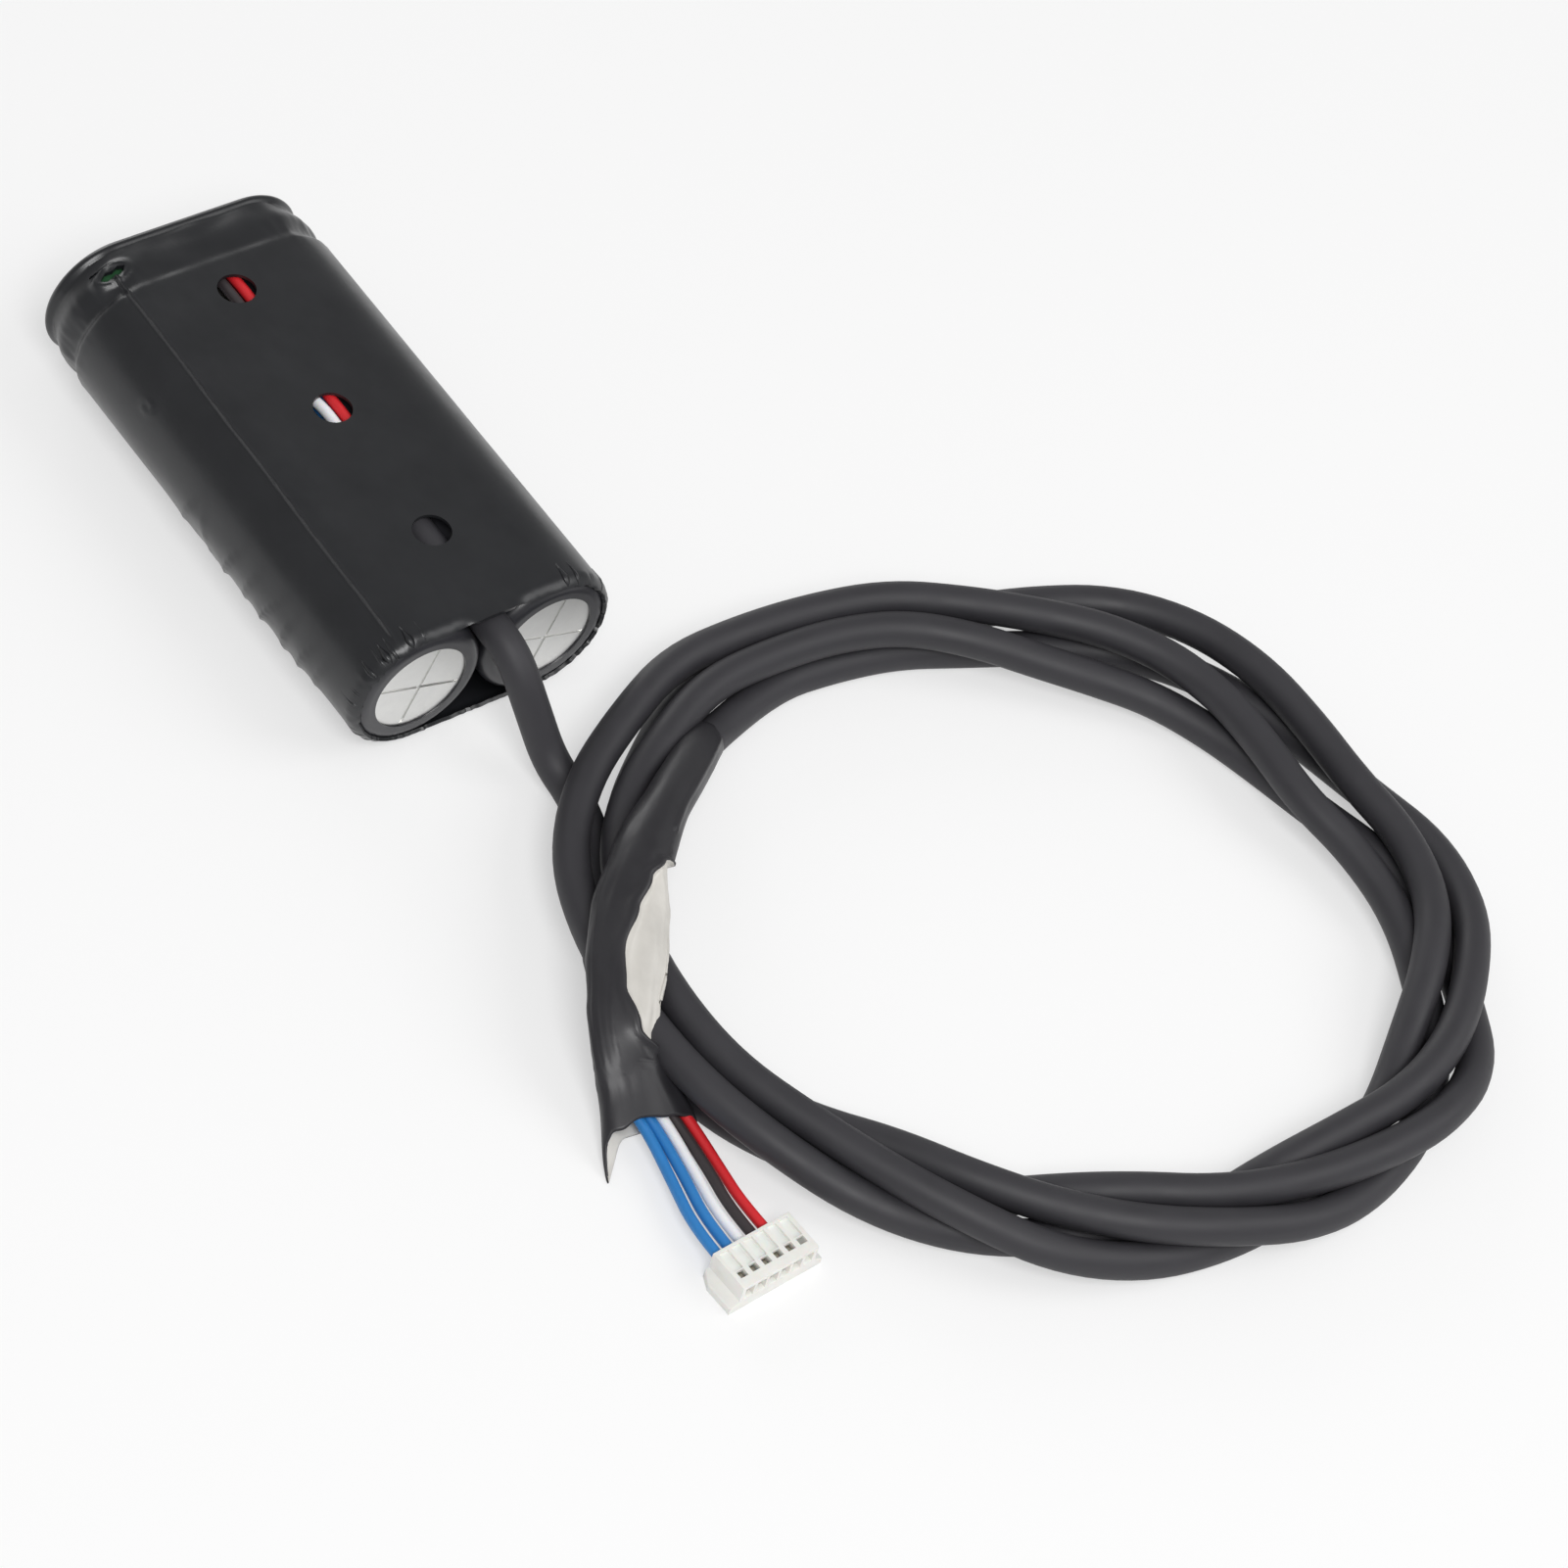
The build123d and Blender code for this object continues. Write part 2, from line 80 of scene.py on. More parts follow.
def smooth(low, high, value):
    """0 at low, 1 at high, and an easy slope between."""
    share = min(1.0, max(0.0, (value - low) / (high - low)))
    return share * share * (3 - 2 * share)


def hump(value, middle, width):
    """1 at the middle, falling off to nearly 0 two widths away."""
    return exp(-((value - middle) / width) ** 2)


def between(table, place):
    """Value of a table of (place, value) rows at a place, eased from row to row."""
    for (low, first), (high, second) in zip(table, table[1:]):
        if place <= high:
            return first + (second - first) * smooth(low, high, place)
    return table[-1][1]


def millimetres(name, description, value):
    """A length that a user may change."""
    return bpy.props.FloatProperty(
        name=name, description=description, default=value * MM, unit="LENGTH")


def degrees(name, description, value):
    """An angle that a user may change."""
    return bpy.props.FloatProperty(
        name=name, description=description, default=radians(value), subtype="ANGLE")


def colour(name, description, code):
    """A colour that a user may change, given as sRGB hex."""
    return bpy.props.FloatVectorProperty(
        name=name, description=description, subtype="COLOR", size=3, min=0, max=1,
        default=linear(code))


FILM_RADIUS = 6.75
PLEAT_COUNT = 46


class SleeveSizes(bpy.types.PropertyGroup):
    """Sizes of the cells and of the shrink sleeve around them."""
    length: millimetres("Length", "Sleeve from rim to rim", 51.2)
    pitch: millimetres("Cell pitch", "Distance between the cells' axes", 13.0)
    radius: millimetres("Outer radius", "Sleeve's outside from a cell's axis", FILM_RADIUS)
    wall: millimetres("Wall", "Thickness of the shrunk film", 0.32)
    hole: millimetres("Hole", "Diameter of the three punched holes", 3.5)
    wrinkle: millimetres("Wrinkle", "Height of the largest wrinkle in the film", 0.3)
    pleats: bpy.props.IntProperty(
        name="Pleats", description="Small pleats round the curled rim", default=PLEAT_COUNT, min=0)


class CableSizes(bpy.types.PropertyGroup):
    """Sizes of the cable, its coil and the wires at its end."""
    diameter: millimetres("Cable", "Diameter of the cable's tube", 3.2)
    wire: millimetres("Wire", "Diameter of a plug wire's insulation", 0.95)
    way_pitch: millimetres("Way pitch", "Distance between the plug's ways", 1.25)
    first_angle: degrees("First angle", "Where the lead joins the coil", 162)
    last_angle: degrees("Last angle", "Where the last turn leaves the coil", 1550)
    step: degrees("Step", "Angle from one point of a turn to the next", 12)


class Finishes(bpy.types.PropertyGroup):
    """Colours of the module's materials."""
    sleeve: colour("Sleeve", "Shrink film around the cells", "#1d1e21")
    tube: colour("Cable tube", "Shrink tube of the cable", "#313034")
    sheath: colour("Sheath", "Film sheath over the cable's end", "#232226")
    lining: colour("Sheath lining", "Inner face of the film sheath", "#cfccc6")
    aluminium: colour("Aluminium", "Bare end of a cell's can", "#ececea")
    wrap: colour("Cell wrap", "Film ring around a can's end", "#2c2c30")
    rubber: colour("Rubber", "Bung of a cell", "#262527")
    tin: colour("Tin", "Cell leads and solder", "#c9c9c6")
    laminate: colour("Laminate", "Link board", "#2f5a3a")
    plate: colour("End plate", "Plastic plate under the sleeve's far end", "#3c3b3d")
    red: colour("Red wire", "Insulation of the red wires", "#d8282f")
    black: colour("Black wire", "Insulation of the black wires", "#3a3436")
    white: colour("White wire", "Insulation of the white wires", "#f2f2f5")
    blue: colour("Blue wire", "Insulation of the blue wires", "#2f7fc4")
    resin: colour("Resin", "Dipped bead of the temperature sensor", "#31302e")
    nylon: colour("Nylon", "Plug housing", "#ecebe6")
    contact: colour("Contact", "Plated crimp contacts", "#c8c4b8")
    floor: colour("Floor", "Studio floor", "#f6f6f6")


class View(bpy.types.PropertyGroup):
    """Place and angles of the camera."""
    aim_x: millimetres("Aim X", "Floor point at the middle of the picture", 20.393)
    aim_y: millimetres("Aim Y", "Floor point at the middle of the picture", -44.169)
    distance: millimetres("Distance", "Camera to the aim", 490.95)
    heading: degrees("Heading", "Turn of the picture's right-hand side from +X", -49.165)
    height: degrees("Height", "How far the camera looks down", 48.298)
    roll: degrees("Roll", "Tilt of the picture", 17.678)
    angle: degrees("Field of view", "Width of the view", 15.69)


SETS = {"sleeve_sizes": SleeveSizes, "cable_sizes": CableSizes, "finishes": Finishes,
        "module_view": View}


def sizes(name):
    """One of the scene's sets of sizes or colours."""
    return getattr(bpy.context.scene, name)


def add(tree, kind, options=None, **inputs):
    """Adds a node with its options. An input goes by its name with underscores for spaces, or by
    its number after an underscore, and one that is given as a (node, output) pair is linked."""
    node = tree.nodes.new(kind)
    for key, value in (options or {}).items():
        setattr(node, key, value)
    for key, value in inputs.items():
        number = key.rsplit("_", 1)[-1]
        socket = node.inputs[int(number) if number.isdigit() else key.replace("_", " ")]
        if isinstance(value, tuple) and isinstance(value[0], bpy.types.Node):
            tree.links.new(value[0].outputs[value[1]], socket)
        else:
            socket.default_value = value
    return node


def emptied(owner):
    """The node tree of a new material or world, with nothing in it."""
    owner.use_nodes = True
    owner.node_tree.nodes.clear()
    return owner.node_tree


def shade(base, factor):
    """A colour made darker or lighter, as a node's input takes it."""
    return (*(min(1.0, c * factor) for c in base), 1.0)


def film(name, base, rough, lines, peel, coat=0.0):
    """Shrunk plastic film: fine drawn lines along it, a soft orange peel and a patchy gloss."""
    tree = emptied(bpy.data.materials.new(name))
    where = add(tree, "ShaderNodeTexCoord")
    # Lines about 1 mm apart and patches of about 4 mm: real drawing lines are too fine to show
    along = add(tree, "ShaderNodeMapping", Vector=(where, "Object"), Scale=(900, 60, 900))
    drawn = add(tree, "ShaderNodeTexNoise", Vector=(along, "Vector"), Scale=1.0, Detail=3.0,
                Roughness=0.55)
    spread = add(tree, "ShaderNodeMapping", Vector=(where, "Object"), Scale=(260, 180, 260))
    patches = add(tree, "ShaderNodeTexNoise", Vector=(spread, "Vector"), Scale=1.0, Detail=4.0,
                  Roughness=0.6)
    mixed = add(tree, "ShaderNodeMix", {"data_type": "RGBA"}, Factor=(patches, "Fac"),
                A=shade(base, 0.82), B=shade(base, 1.22))
    gloss = add(tree, "ShaderNodeMapRange", Value=(patches, "Fac"), From_Min=0.3, From_Max=0.7,
                To_Min=rough - 0.05, To_Max=rough + 0.07)
    lined = add(tree, "ShaderNodeBump", Height=(drawn, "Fac"), Strength=1.0, Distance=lines)
    peeled = add(tree, "ShaderNodeBump", Height=(patches, "Fac"), Strength=1.0, Distance=peel,
                 Normal=(lined, "Normal"))
    shader = add(tree, "ShaderNodeBsdfPrincipled", Base_Color=(mixed, "Result"), IOR=1.5,
                 Roughness=(gloss, "Result"), Normal=(peeled, "Normal"), Coat_Weight=coat,
                 Coat_Roughness=0.22)
    add(tree, "ShaderNodeOutputMaterial", Surface=(shader, "BSDF"))


def moulded(name, base, rough, grain=400, bump=0.01 * MM, subsurface=0.0):
    """Moulded or extruded plastic: an even colour with a faint mottle and a fine surface. Its
    grain is so many spots to the metre: 400 gives 2.5 mm."""
    tree = emptied(bpy.data.materials.new(name))
    where = add(tree, "ShaderNodeTexCoord")
    spread = add(tree, "ShaderNodeMapping", Vector=(where, "Object"), Scale=(grain, grain, grain))
    mottle = add(tree, "ShaderNodeTexNoise", Vector=(spread, "Vector"), Scale=1.0, Detail=4.0,
                 Roughness=0.6)
    mixed = add(tree, "ShaderNodeMix", {"data_type": "RGBA"}, Factor=(mottle, "Fac"),
                A=shade(base, 0.92), B=shade(base, 1.06))
    rise = add(tree, "ShaderNodeBump", Height=(mottle, "Fac"), Strength=1.0, Distance=bump)
    shader = add(tree, "ShaderNodeBsdfPrincipled", Base_Color=(mixed, "Result"), Roughness=rough,
                 Normal=(rise, "Normal"), Subsurface_Weight=subsurface, Subsurface_Scale=0.5 * MM)
    add(tree, "ShaderNodeOutputMaterial", Surface=(shader, "BSDF"))


def metal(name, base, rough, stretch, bump=0.01 * MM):
    """Drawn or plated metal: streaks of drawing, stains and scuffs. Its stretch is so many of
    them to the metre along X, Y and Z."""
    tree = emptied(bpy.data.materials.new(name))
    where = add(tree, "ShaderNodeTexCoord")
    spread = add(tree, "ShaderNodeMapping", Vector=(where, "Object"), Scale=stretch)
    streaks = add(tree, "ShaderNodeTexNoise", Vector=(spread, "Vector"), Scale=1.0, Detail=5.0,
                  Roughness=0.65)
    mixed = add(tree, "ShaderNodeMix", {"data_type": "RGBA"}, Factor=(streaks, "Fac"),
                A=shade(base, 0.78), B=shade(base, 1.08))
    gloss = add(tree, "ShaderNodeMapRange", Value=(streaks, "Fac"), From_Min=0.3, From_Max=0.7,
                To_Min=rough - 0.08, To_Max=rough + 0.12)
    rise = add(tree, "ShaderNodeBump", Height=(streaks, "Fac"), Strength=1.0, Distance=bump)
    shader = add(tree, "ShaderNodeBsdfPrincipled", Base_Color=(mixed, "Result"), Metallic=1.0,
                 Roughness=(gloss, "Result"), Normal=(rise, "Normal"))
    add(tree, "ShaderNodeOutputMaterial", Surface=(shader, "BSDF"))


INSULATION = dict(rough=0.42, grain=600, bump=0.006 * MM)

# Slot in the record, then the real finish, how it is made here, its colour and its settings
MATERIALS = {
    # Shrunk PVC film: satin, drawn tight, with fine lines along the pack
    "sleeve_film": ("shrunk_pvc_film", film, "sleeve",
                    dict(rough=0.34, lines=0.004 * MM, peel=0.02 * MM, coat=0.12)),
    # Cross-linked polyolefin tube: matt, faintly rubbed
    "cable_tube": ("shrink_tube_polyolefin", film, "tube",
                   dict(rough=0.56, lines=0.004 * MM, peel=0.02 * MM)),
    # Thin polyester film: glossier than the tube, crinkled
    "sheath_film": ("thin_polyester_film", film, "sheath",
                    dict(rough=0.46, lines=0.004 * MM, peel=0.03 * MM, coat=0.12)),
    # The same film's pale inner face
    "sheath_lining": ("polyester_film_inside", film, "lining",
                      dict(rough=0.42, lines=0.003 * MM, peel=0.02 * MM)),
    # Drawn aluminium: bright, slightly frosted by the press
    "can_aluminium": ("drawn_aluminium", metal, "aluminium",
                      dict(rough=0.36, stretch=(420, 60, 420))),
    # The cell's own wrap, seen only as a ring
    "cell_wrap": ("cell_wrap_film", film, "wrap",
                  dict(rough=0.34, lines=0.003 * MM, peel=0.012 * MM, coat=0.2)),
    # Butyl rubber: dull and almost black
    "bung_rubber": ("bung_butyl_rubber", moulded, "rubber", dict(rough=0.75)),
    # Tinned copper wire: bright, with fine streaks along it
    "tinned_lead": ("tinned_copper", metal, "tin", dict(rough=0.3, stretch=(500, 80, 500))),
    # Glass and epoxy laminate: an even satin green
    "board_laminate": ("glass_epoxy_laminate", moulded, "laminate", dict(rough=0.45, grain=900)),
    # Solder: bright fillets that set a little lumpy
    "solder": ("solder_fillet", metal, "tin",
               dict(rough=0.28, stretch=(700, 700, 700), bump=0.02 * MM)),
    # Pressed plastic sheet: dark and satin
    "plate_plastic": ("pressed_plastic_plate", moulded, "plate", dict(rough=0.5, grain=500)),
    # Extruded PVC: a soft gloss, and light goes a little way into the pale ones
    "wire_red": ("pvc_insulation_red", moulded, "red", dict(**INSULATION, subsurface=0.05)),
    "wire_black": ("pvc_insulation_black", moulded, "black", INSULATION),
    "wire_white": ("pvc_insulation_white", moulded, "white", dict(**INSULATION, subsurface=0.1)),
    "wire_blue": ("pvc_insulation_blue", moulded, "blue", dict(**INSULATION, subsurface=0.05)),
    # Dipped epoxy: a smooth skin with a half gloss
    "bead_resin": ("dipped_epoxy_bead", moulded, "resin", dict(rough=0.35, grain=500)),
    # Moulded nylon: light passes a little into its thin walls
    "plug_nylon": ("moulded_nylon", moulded, "nylon",
                   dict(rough=0.4, grain=700, bump=0.006 * MM, subsurface=0.15)),
    # Tin over bronze: bright, with soft stains
    "contact_metal": ("tin_plated_bronze", metal, "contact",
                      dict(rough=0.3, stretch=(600, 600, 600))),
}


def finish(slot):
    """The material of one of the record's slots."""
    return bpy.data.materials[MATERIALS[slot][0]]


def wire_slot(name):
    """The slot of a wire by its name, such as wire_blue for blue_a."""
    return "wire_" + name.split("_")[0]


def new_object(name, data):
    """An object at the origin, in the scene."""
    made = bpy.data.objects.new(name, data)
    bpy.context.scene.collection.objects.link(made)
    return made


def settled(mesh, name):
    """A worked mesh as data that an object can hold."""
    data = bpy.data.meshes.new(name)
    mesh.to_mesh(data)
    mesh.free()
    return data


def evaluated(thing):
    """An object's shape with its modifiers or bevel in it, as a plain mesh."""
    return bpy.data.meshes.new_from_object(
        thing.evaluated_get(bpy.context.evaluated_depsgraph_get()))


def band(mesh, low, high):
    """Smooth faces between two closed rings of vertices."""
    faces = []
    for place in range(len(low)):
        after = (place + 1) % len(low)
        face = mesh.faces.new((low[place], low[after], high[after], high[place]))
        face.smooth = True
        faces.append(face)
    return faces


class MODULE_OT_camera(bpy.types.Operator):
    """Set the camera at the photograph's angle."""
    bl_idname = "module.camera"
    bl_label = "Camera"

    def execute(self, context):
        view = sizes("module_view")
        heading, height, roll = view.heading, view.height, view.roll
        ahead = Vector((-sin(heading) * cos(height), cos(heading) * cos(height), -sin(height)))
        right = Vector((cos(heading), sin(heading), 0))
        up = right.cross(ahead)
        right, up = right * cos(roll) + up * sin(roll), up * cos(roll) - right * sin(roll)
        data = bpy.data.cameras.new("camera")
        data.sensor_width = 36
        data.angle = view.angle
        data.clip_start = 0.01
        camera = new_object("camera", data)
        eye = Vector((view.aim_x, view.aim_y, 0)) - ahead * view.distance
        camera.matrix_world = Matrix.Translation(eye) @ Matrix(
            (right, up, -ahead)).transposed().to_4x4()
        context.scene.camera = camera
        return {"FINISHED"}


class MODULE_OT_materials(bpy.types.Operator):
    """Make every material, and give each carried-over part its own."""
    bl_idname = "module.materials"
    bl_label = "Materials"

    def execute(self, context):
        for name, maker, tone, settings in MATERIALS.values():
            maker(name, getattr(sizes("finishes"), tone), **settings)
        slots = {"link_board": "board_laminate", "solder_joints": "solder",
                 "end_plate": "plate_plastic", "temperature_sensor": "bead_resin",
                 "plug_housing": "plug_nylon", "plug_contacts": "contact_metal",
                 "outer_sleeve": "sleeve_film", "end_sheath": "sheath_film",
                 "cable_lead": "cable_tube", "cable_coil": "cable_tube",
                 "cable_tail": "cable_tube"}
        for side in ("left", "right"):
            slots[f"cell_can_{side}"] = "can_aluminium"
            slots[f"cell_wrap_{side}"] = "cell_wrap"
            slots[f"cell_bung_{side}"] = "bung_rubber"
            slots[f"cell_leads_{side}"] = "tinned_lead"
        for name, *_ in WIRES:
            slots[f"inner_wire_{name}"] = wire_slot(name)
            slots[f"plug_wire_{name}"] = wire_slot(name)
        for node, slot in slots.items():
            carried = frame["nodes"][node]
            if not carried.material_slots:
                carried.data.materials.append(None)
            for place in carried.material_slots:
                place.material = finish(slot)
        return {"FINISHED"}


# Coil's middle, then its half-way radius and half the spread of its turns, every 30 degrees from +X
COIL_CENTRE = (31.5, -65.9)
COIL_MIDDLE = (30.5, 31.4, 29.8, 31.9, 35.8, 38.9, 37.8, 35.0, 34.6, 35.4, 36.8, 35.4)
COIL_SPREAD = (5.6, 5.4, 4.3, 3.2, 3.9, 4.1, 3.4, 3.4, 3.9, 3.3, 3.8, 3.7)
# Angle round the coil and how far a turn has then rolled over its neighbours, in degrees
COIL_ROLL = ((192, 0), (205, 34), (238, 124), (272, 214), (303, 304), (335, 394), (405, 484),
             (445, 540), (552, 540))
# Roll before the first crossing, and more of it with each whole turn
FIRST_ROLL, TURN_ROLL = 236, 540
# The last turn rolls on from this angle, over this many degrees, by this much
LAST_FROM, LAST_OVER, LAST_ROLL = 825, 45, 90
# Degrees of roll in which the cable climbs on to a neighbour
CLIMB = 34
# Control points of the cable's lead, of the sheath's middle line, and of the cable's tail inside it
LEAD_ROUTE = ((0, -8, 11.52), (0, -24.8, 11.5), (0.1, -28.8, 11.0), (0.9, -31.8, 6.6),
              (1.7, -34.4, 2.5), (2.0, -38.2, 1.6), (0.6, -43.0, 1.6), (-1.4, -48.0, 1.6))
SHEATH_ROUTE = ((14.4, -39.1, 3.2), (10.8, -41.9, 5.6), (3.4, -46.8, 7.8), (-1.2, -50.3, 8.1),
                (-4.5, -54.3, 7.6), (-7.6, -58.4, 7.1), (-10.1, -61.8, 6.4), (-11.3, -63.9, 5.2),
                (-11.6, -66.4, 3.2), (-12.3, -70.0, 1.75))
TAIL_ROUTE = ((14.6, -39.0, 3.1), *SHEATH_ROUTE[1:4])


def round_table(table, angle):
    """Value of a table that runs once round the coil, at an angle in degrees."""
    place = (angle % 360) / (360 / len(table))
    first = int(place) % len(table)
    share = smooth(0, 1, place - int(place))
    return table[first] * (1 - share) + table[(first + 1) % len(table)] * share


def roll_of_turn(angle):
    """How far the cable has rolled over its neighbours at an angle along it, in degrees."""
    start = COIL_ROLL[0][0]
    whole, rest = divmod(angle - start, 360)
    if whole < 0:
        return FIRST_ROLL
    rest += start
    roll = FIRST_ROLL + TURN_ROLL * whole
    for (low, first), (high, second) in zip(COIL_ROLL, COIL_ROLL[1:]):
        if rest <= high:
            roll += first + (second - first) * (rest - low) / (high - low)
            break
    return roll + LAST_ROLL * min(1.0, max(0.0, (angle - LAST_FROM) / LAST_OVER))


def coil_point(angle, diameter):
    """Centre point of the cable at an angle in degrees along its turns."""
    roll = roll_of_turn(angle) % 360
    over = roll < 180
    side = -1 + roll / 90 if over else 3 - roll / 90
    climb = roll if over else 360 - roll
    rise = smooth(0, CLIMB, min(climb, 180 - climb)) / 2
    height = 0.5 + rise if over else 0.5 - rise
    radius = round_table(COIL_MIDDLE, angle) + round_table(COIL_SPREAD, angle) * side
    around = radians(angle)
    return (COIL_CENTRE[0] + radius * cos(around), COIL_CENTRE[1] + radius * sin(around),
            diameter / 2 + diameter * height)


def nurbs(name, points, bevel):
    """A curve object of one smooth spline through the control points."""
    data = bpy.data.curves.new(name, "CURVE")
    data.dimensions = "3D"
    spline = data.splines.new("NURBS")
    spline.points.add(len(points) - 1)
    for point, place in zip(spline.points, points):
        point.co = (*(c * MM for c in place), 1.0)
    spline.order_u = 3
    spline.use_endpoint_u = True
    spline.resolution_u = 6
    data.bevel_depth = bevel
    data.bevel_resolution = 6
    data.use_fill_caps = bevel > 0
    data.twist_mode = "MINIMUM"
    return new_object(name, data)


def line_of(points):
    """Points along the smooth line that a route's spline gives."""
    guide = nurbs("route_guide", points, 0)
    guide.data.splines[0].resolution_u = 16
    mesh = evaluated(guide)
    line = [vertex.co / MM for vertex in mesh.vertices]
    bpy.data.objects.remove(guide)
    bpy.data.meshes.remove(mesh)
    return line


class MODULE_OT_cable(bpy.types.Operator):
    """Lay the cable: out of the sleeve, round four loose turns and up into the sheath."""
    bl_idname = "module.cable"
    bl_label = "Cable"

    def execute(self, context):
        size = sizes("cable_sizes")
        count = int((size.last_angle - size.first_angle) / size.step + 0.001)
        first, step = size.first_angle * 180 / pi, size.step * 180 / pi
        turns = [coil_point(first + step * place, size.diameter / MM)
                 for place in range(count + 1)]
        cable = nurbs("cable", [*LEAD_ROUTE, *turns, *TAIL_ROUTE], size.diameter / 2)
        cable.data.materials.append(finish("cable_tube"))
        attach(cable, "root")
        return {"FINISHED"}


# Wires in the plug's order: name, seat round the cable's middle in degrees, sway on the floor, and
# length in metres
WIRES = (("blue_a", 198, 0.12, 0.041), ("blue_b", 126, -0.06, 0.0407), ("white", 270, 0.1, 0.0395),
         ("black", 60, -0.12, 0.0395), ("red", 338, 0.1, 0.0385))
# Seats of the wires from the cable's middle, and how far they run straight on from there
SEAT_RADIUS, SEAT_RUN = 0.85, 2.2
# Slant of the row of wires, in degrees, then the sheath's points that it follows and its spacing
# there
ROW_SLANT = 14
ROW_IN_SHEATH, ROW_SPACING = SHEATH_ROUTE[5:9], (0.9, 0.92, 0.93, 0.95)
# Where the row lies on the floor before the plug, and its spacing there
ROW_ON_FLOOR, FLOOR_SPACING = ((-10.9, -70.4, 1.8), (-11.5, -75.6, 1.6)), (0.96, 1.1)
# How far behind the plug's middle a wire comes into line with its way, and where it ends inside
WAY_ENTRY, WAY_END = 3.0, -1.0
# Plug's middle on the floor, its turn in degrees and the height of its ways
PLUG_MIDDLE, PLUG_TURN, WAY_HEIGHT = (-11.64, -82.93), 3.7, 1.95


def plug_point(across, back):
    """A point in the plug at the height of its ways: across them, and back towards the wires."""
    turn = radians(PLUG_TURN)
    return Vector((PLUG_MIDDLE[0] + across * cos(turn) - back * sin(turn),
                   PLUG_MIDDLE[1] + across * sin(turn) + back * cos(turn), WAY_HEIGHT))


class MODULE_OT_wires(bpy.types.Operator):
    """Lead five wires from the cable's cut end, through the sheath, into the plug."""
    bl_idname = "module.wires"
    bl_label = "Plug wires"

    def execute(self, context):
        size = sizes("cable_sizes")
        end = Vector(TAIL_ROUTE[-1])
        ahead = (end - Vector(TAIL_ROUTE[-2])).normalized()
        level = UP.cross(ahead).normalized()
        up = ahead.cross(level)
        row = Vector((cos(radians(ROW_SLANT)), -sin(radians(ROW_SLANT)), 0))
        for place, (name, seat_angle, sway, _) in enumerate(WIRES):
            angle = radians(seat_angle)
            seat = end + (level * cos(angle) + up * sin(angle)) * SEAT_RADIUS
            aside = row * (place - 2)
            # The sixth of the plug's ways is empty
            way = size.way_pitch / MM * (place - 2.5)
            inside = [Vector(point) + aside * spacing
                      for point, spacing in zip(ROW_IN_SHEATH, ROW_SPACING)]
            on_floor = [Vector((x, y, z + off)) + aside * spacing for (x, y, z), off, spacing
                        in zip(ROW_ON_FLOOR, (sway, -sway), FLOOR_SPACING)]
            route = [seat, seat + ahead * SEAT_RUN, *inside, *on_floor,
                     plug_point(way, WAY_ENTRY), plug_point(way, WAY_END)]
            wire = nurbs(f"wire_{name}", route, size.wire / 2)
            wire.data.materials.append(finish(wire_slot(name)))
            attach(wire, "root")
            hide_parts(f"plug_wire_{name}")
        return {"FINISHED"}


# Sheath's length, then distance along it and the width and height of its section
SHEATH_LENGTH = 46
SHEATH_WIDTH = ((0, 3.9), (12, 4.2), (20.4, 5.4), (26.3, 7.2), (31, 7.4), (35.4, 6.6), (38, 6.1),
                (41.5, 6.7), (46, 8.1))
SHEATH_HEIGHT = ((0, 3.9), (12, 4.0), (20.4, 4.0), (26.3, 3.2), (31, 2.8), (35.4, 2.8), (38, 2.9),
                 (41.5, 2.9), (46, 2.9))
# Distance along the sheath, then the angle round it where the dark film folds back over the pale
# lining
LENS_EDGE = ((19.0, -30), (21.0, 45), (23.2, 70), (26.5, 86), (30.5, 98), (34, 94), (37.4, 74),
             (39.8, 42), (41.6, -30))
NO_LENS = -30.0
# Seam: its angle, width and height, and where it ends with the snug part
SEAM_ANGLE, SEAM_WIDTH, SEAM_RISE, SNUG_END = 42, 7, 0.22, 17
# Lip of the dark film: how far the lining lies below it, its own rise and the lining's creases
LINING_DEPTH, LIP_RISE, LINING_CREASE = 0.55, 0.2, 0.3
# Mouth: where it starts to flare, then angle, width and reach of each tongue of its cut end. The
# first one is the flap, which also leans aside
MOUTH_FROM, FLAP_ASIDE = 39.5, 1.1
TONGUES = ((206, 22, 3.6), (100, 38, -0.7), (10, 22, 0.4))
# Lowest point of the film over the floor
SHEATH_FLOOR = 0.06
# Rows along the sheath, columns round it, and the columns where the lining starts and where it ends
# at the dark film's edge
SHEATH_ROWS, SHEATH_RING, LINING_COLUMN, EDGE_COLUMN = 150, 96, 8, 44
LINING_START = -62


def lens_edge(along):
    """Angle at which the dark film ends over the lining."""
    if not LENS_EDGE[0][0] < along < LENS_EDGE[-1][0]:
        return NO_LENS
    return between(LENS_EDGE, along)


def sheath_stations():
    """Rows of the sheath: how far along, the middle, and the ways ahead, level and up there."""
    line = line_of(SHEATH_ROUTE)
    reach = [0.0]
    for before, here in zip(line, line[1:]):
        reach.append(reach[-1] + (here - before).length)
    stations = []
    for row in range(SHEATH_ROWS + 1):
        along = reach[-1] * row / SHEATH_ROWS
        place = next(n for n in range(1, len(reach)) if reach[n] >= along - 1e-6)
        share = (along - reach[place - 1]) / (reach[place] - reach[place - 1])
        middle = line[place - 1].lerp(line[place], share)
        ahead = (line[min(len(line) - 1, place + 2)] - line[max(0, place - 3)]).normalized()
        level = UP.cross(ahead).normalized()
        stations.append((along * SHEATH_LENGTH / reach[-1], middle, ahead, level,
                         ahead.cross(level)))
    return stations


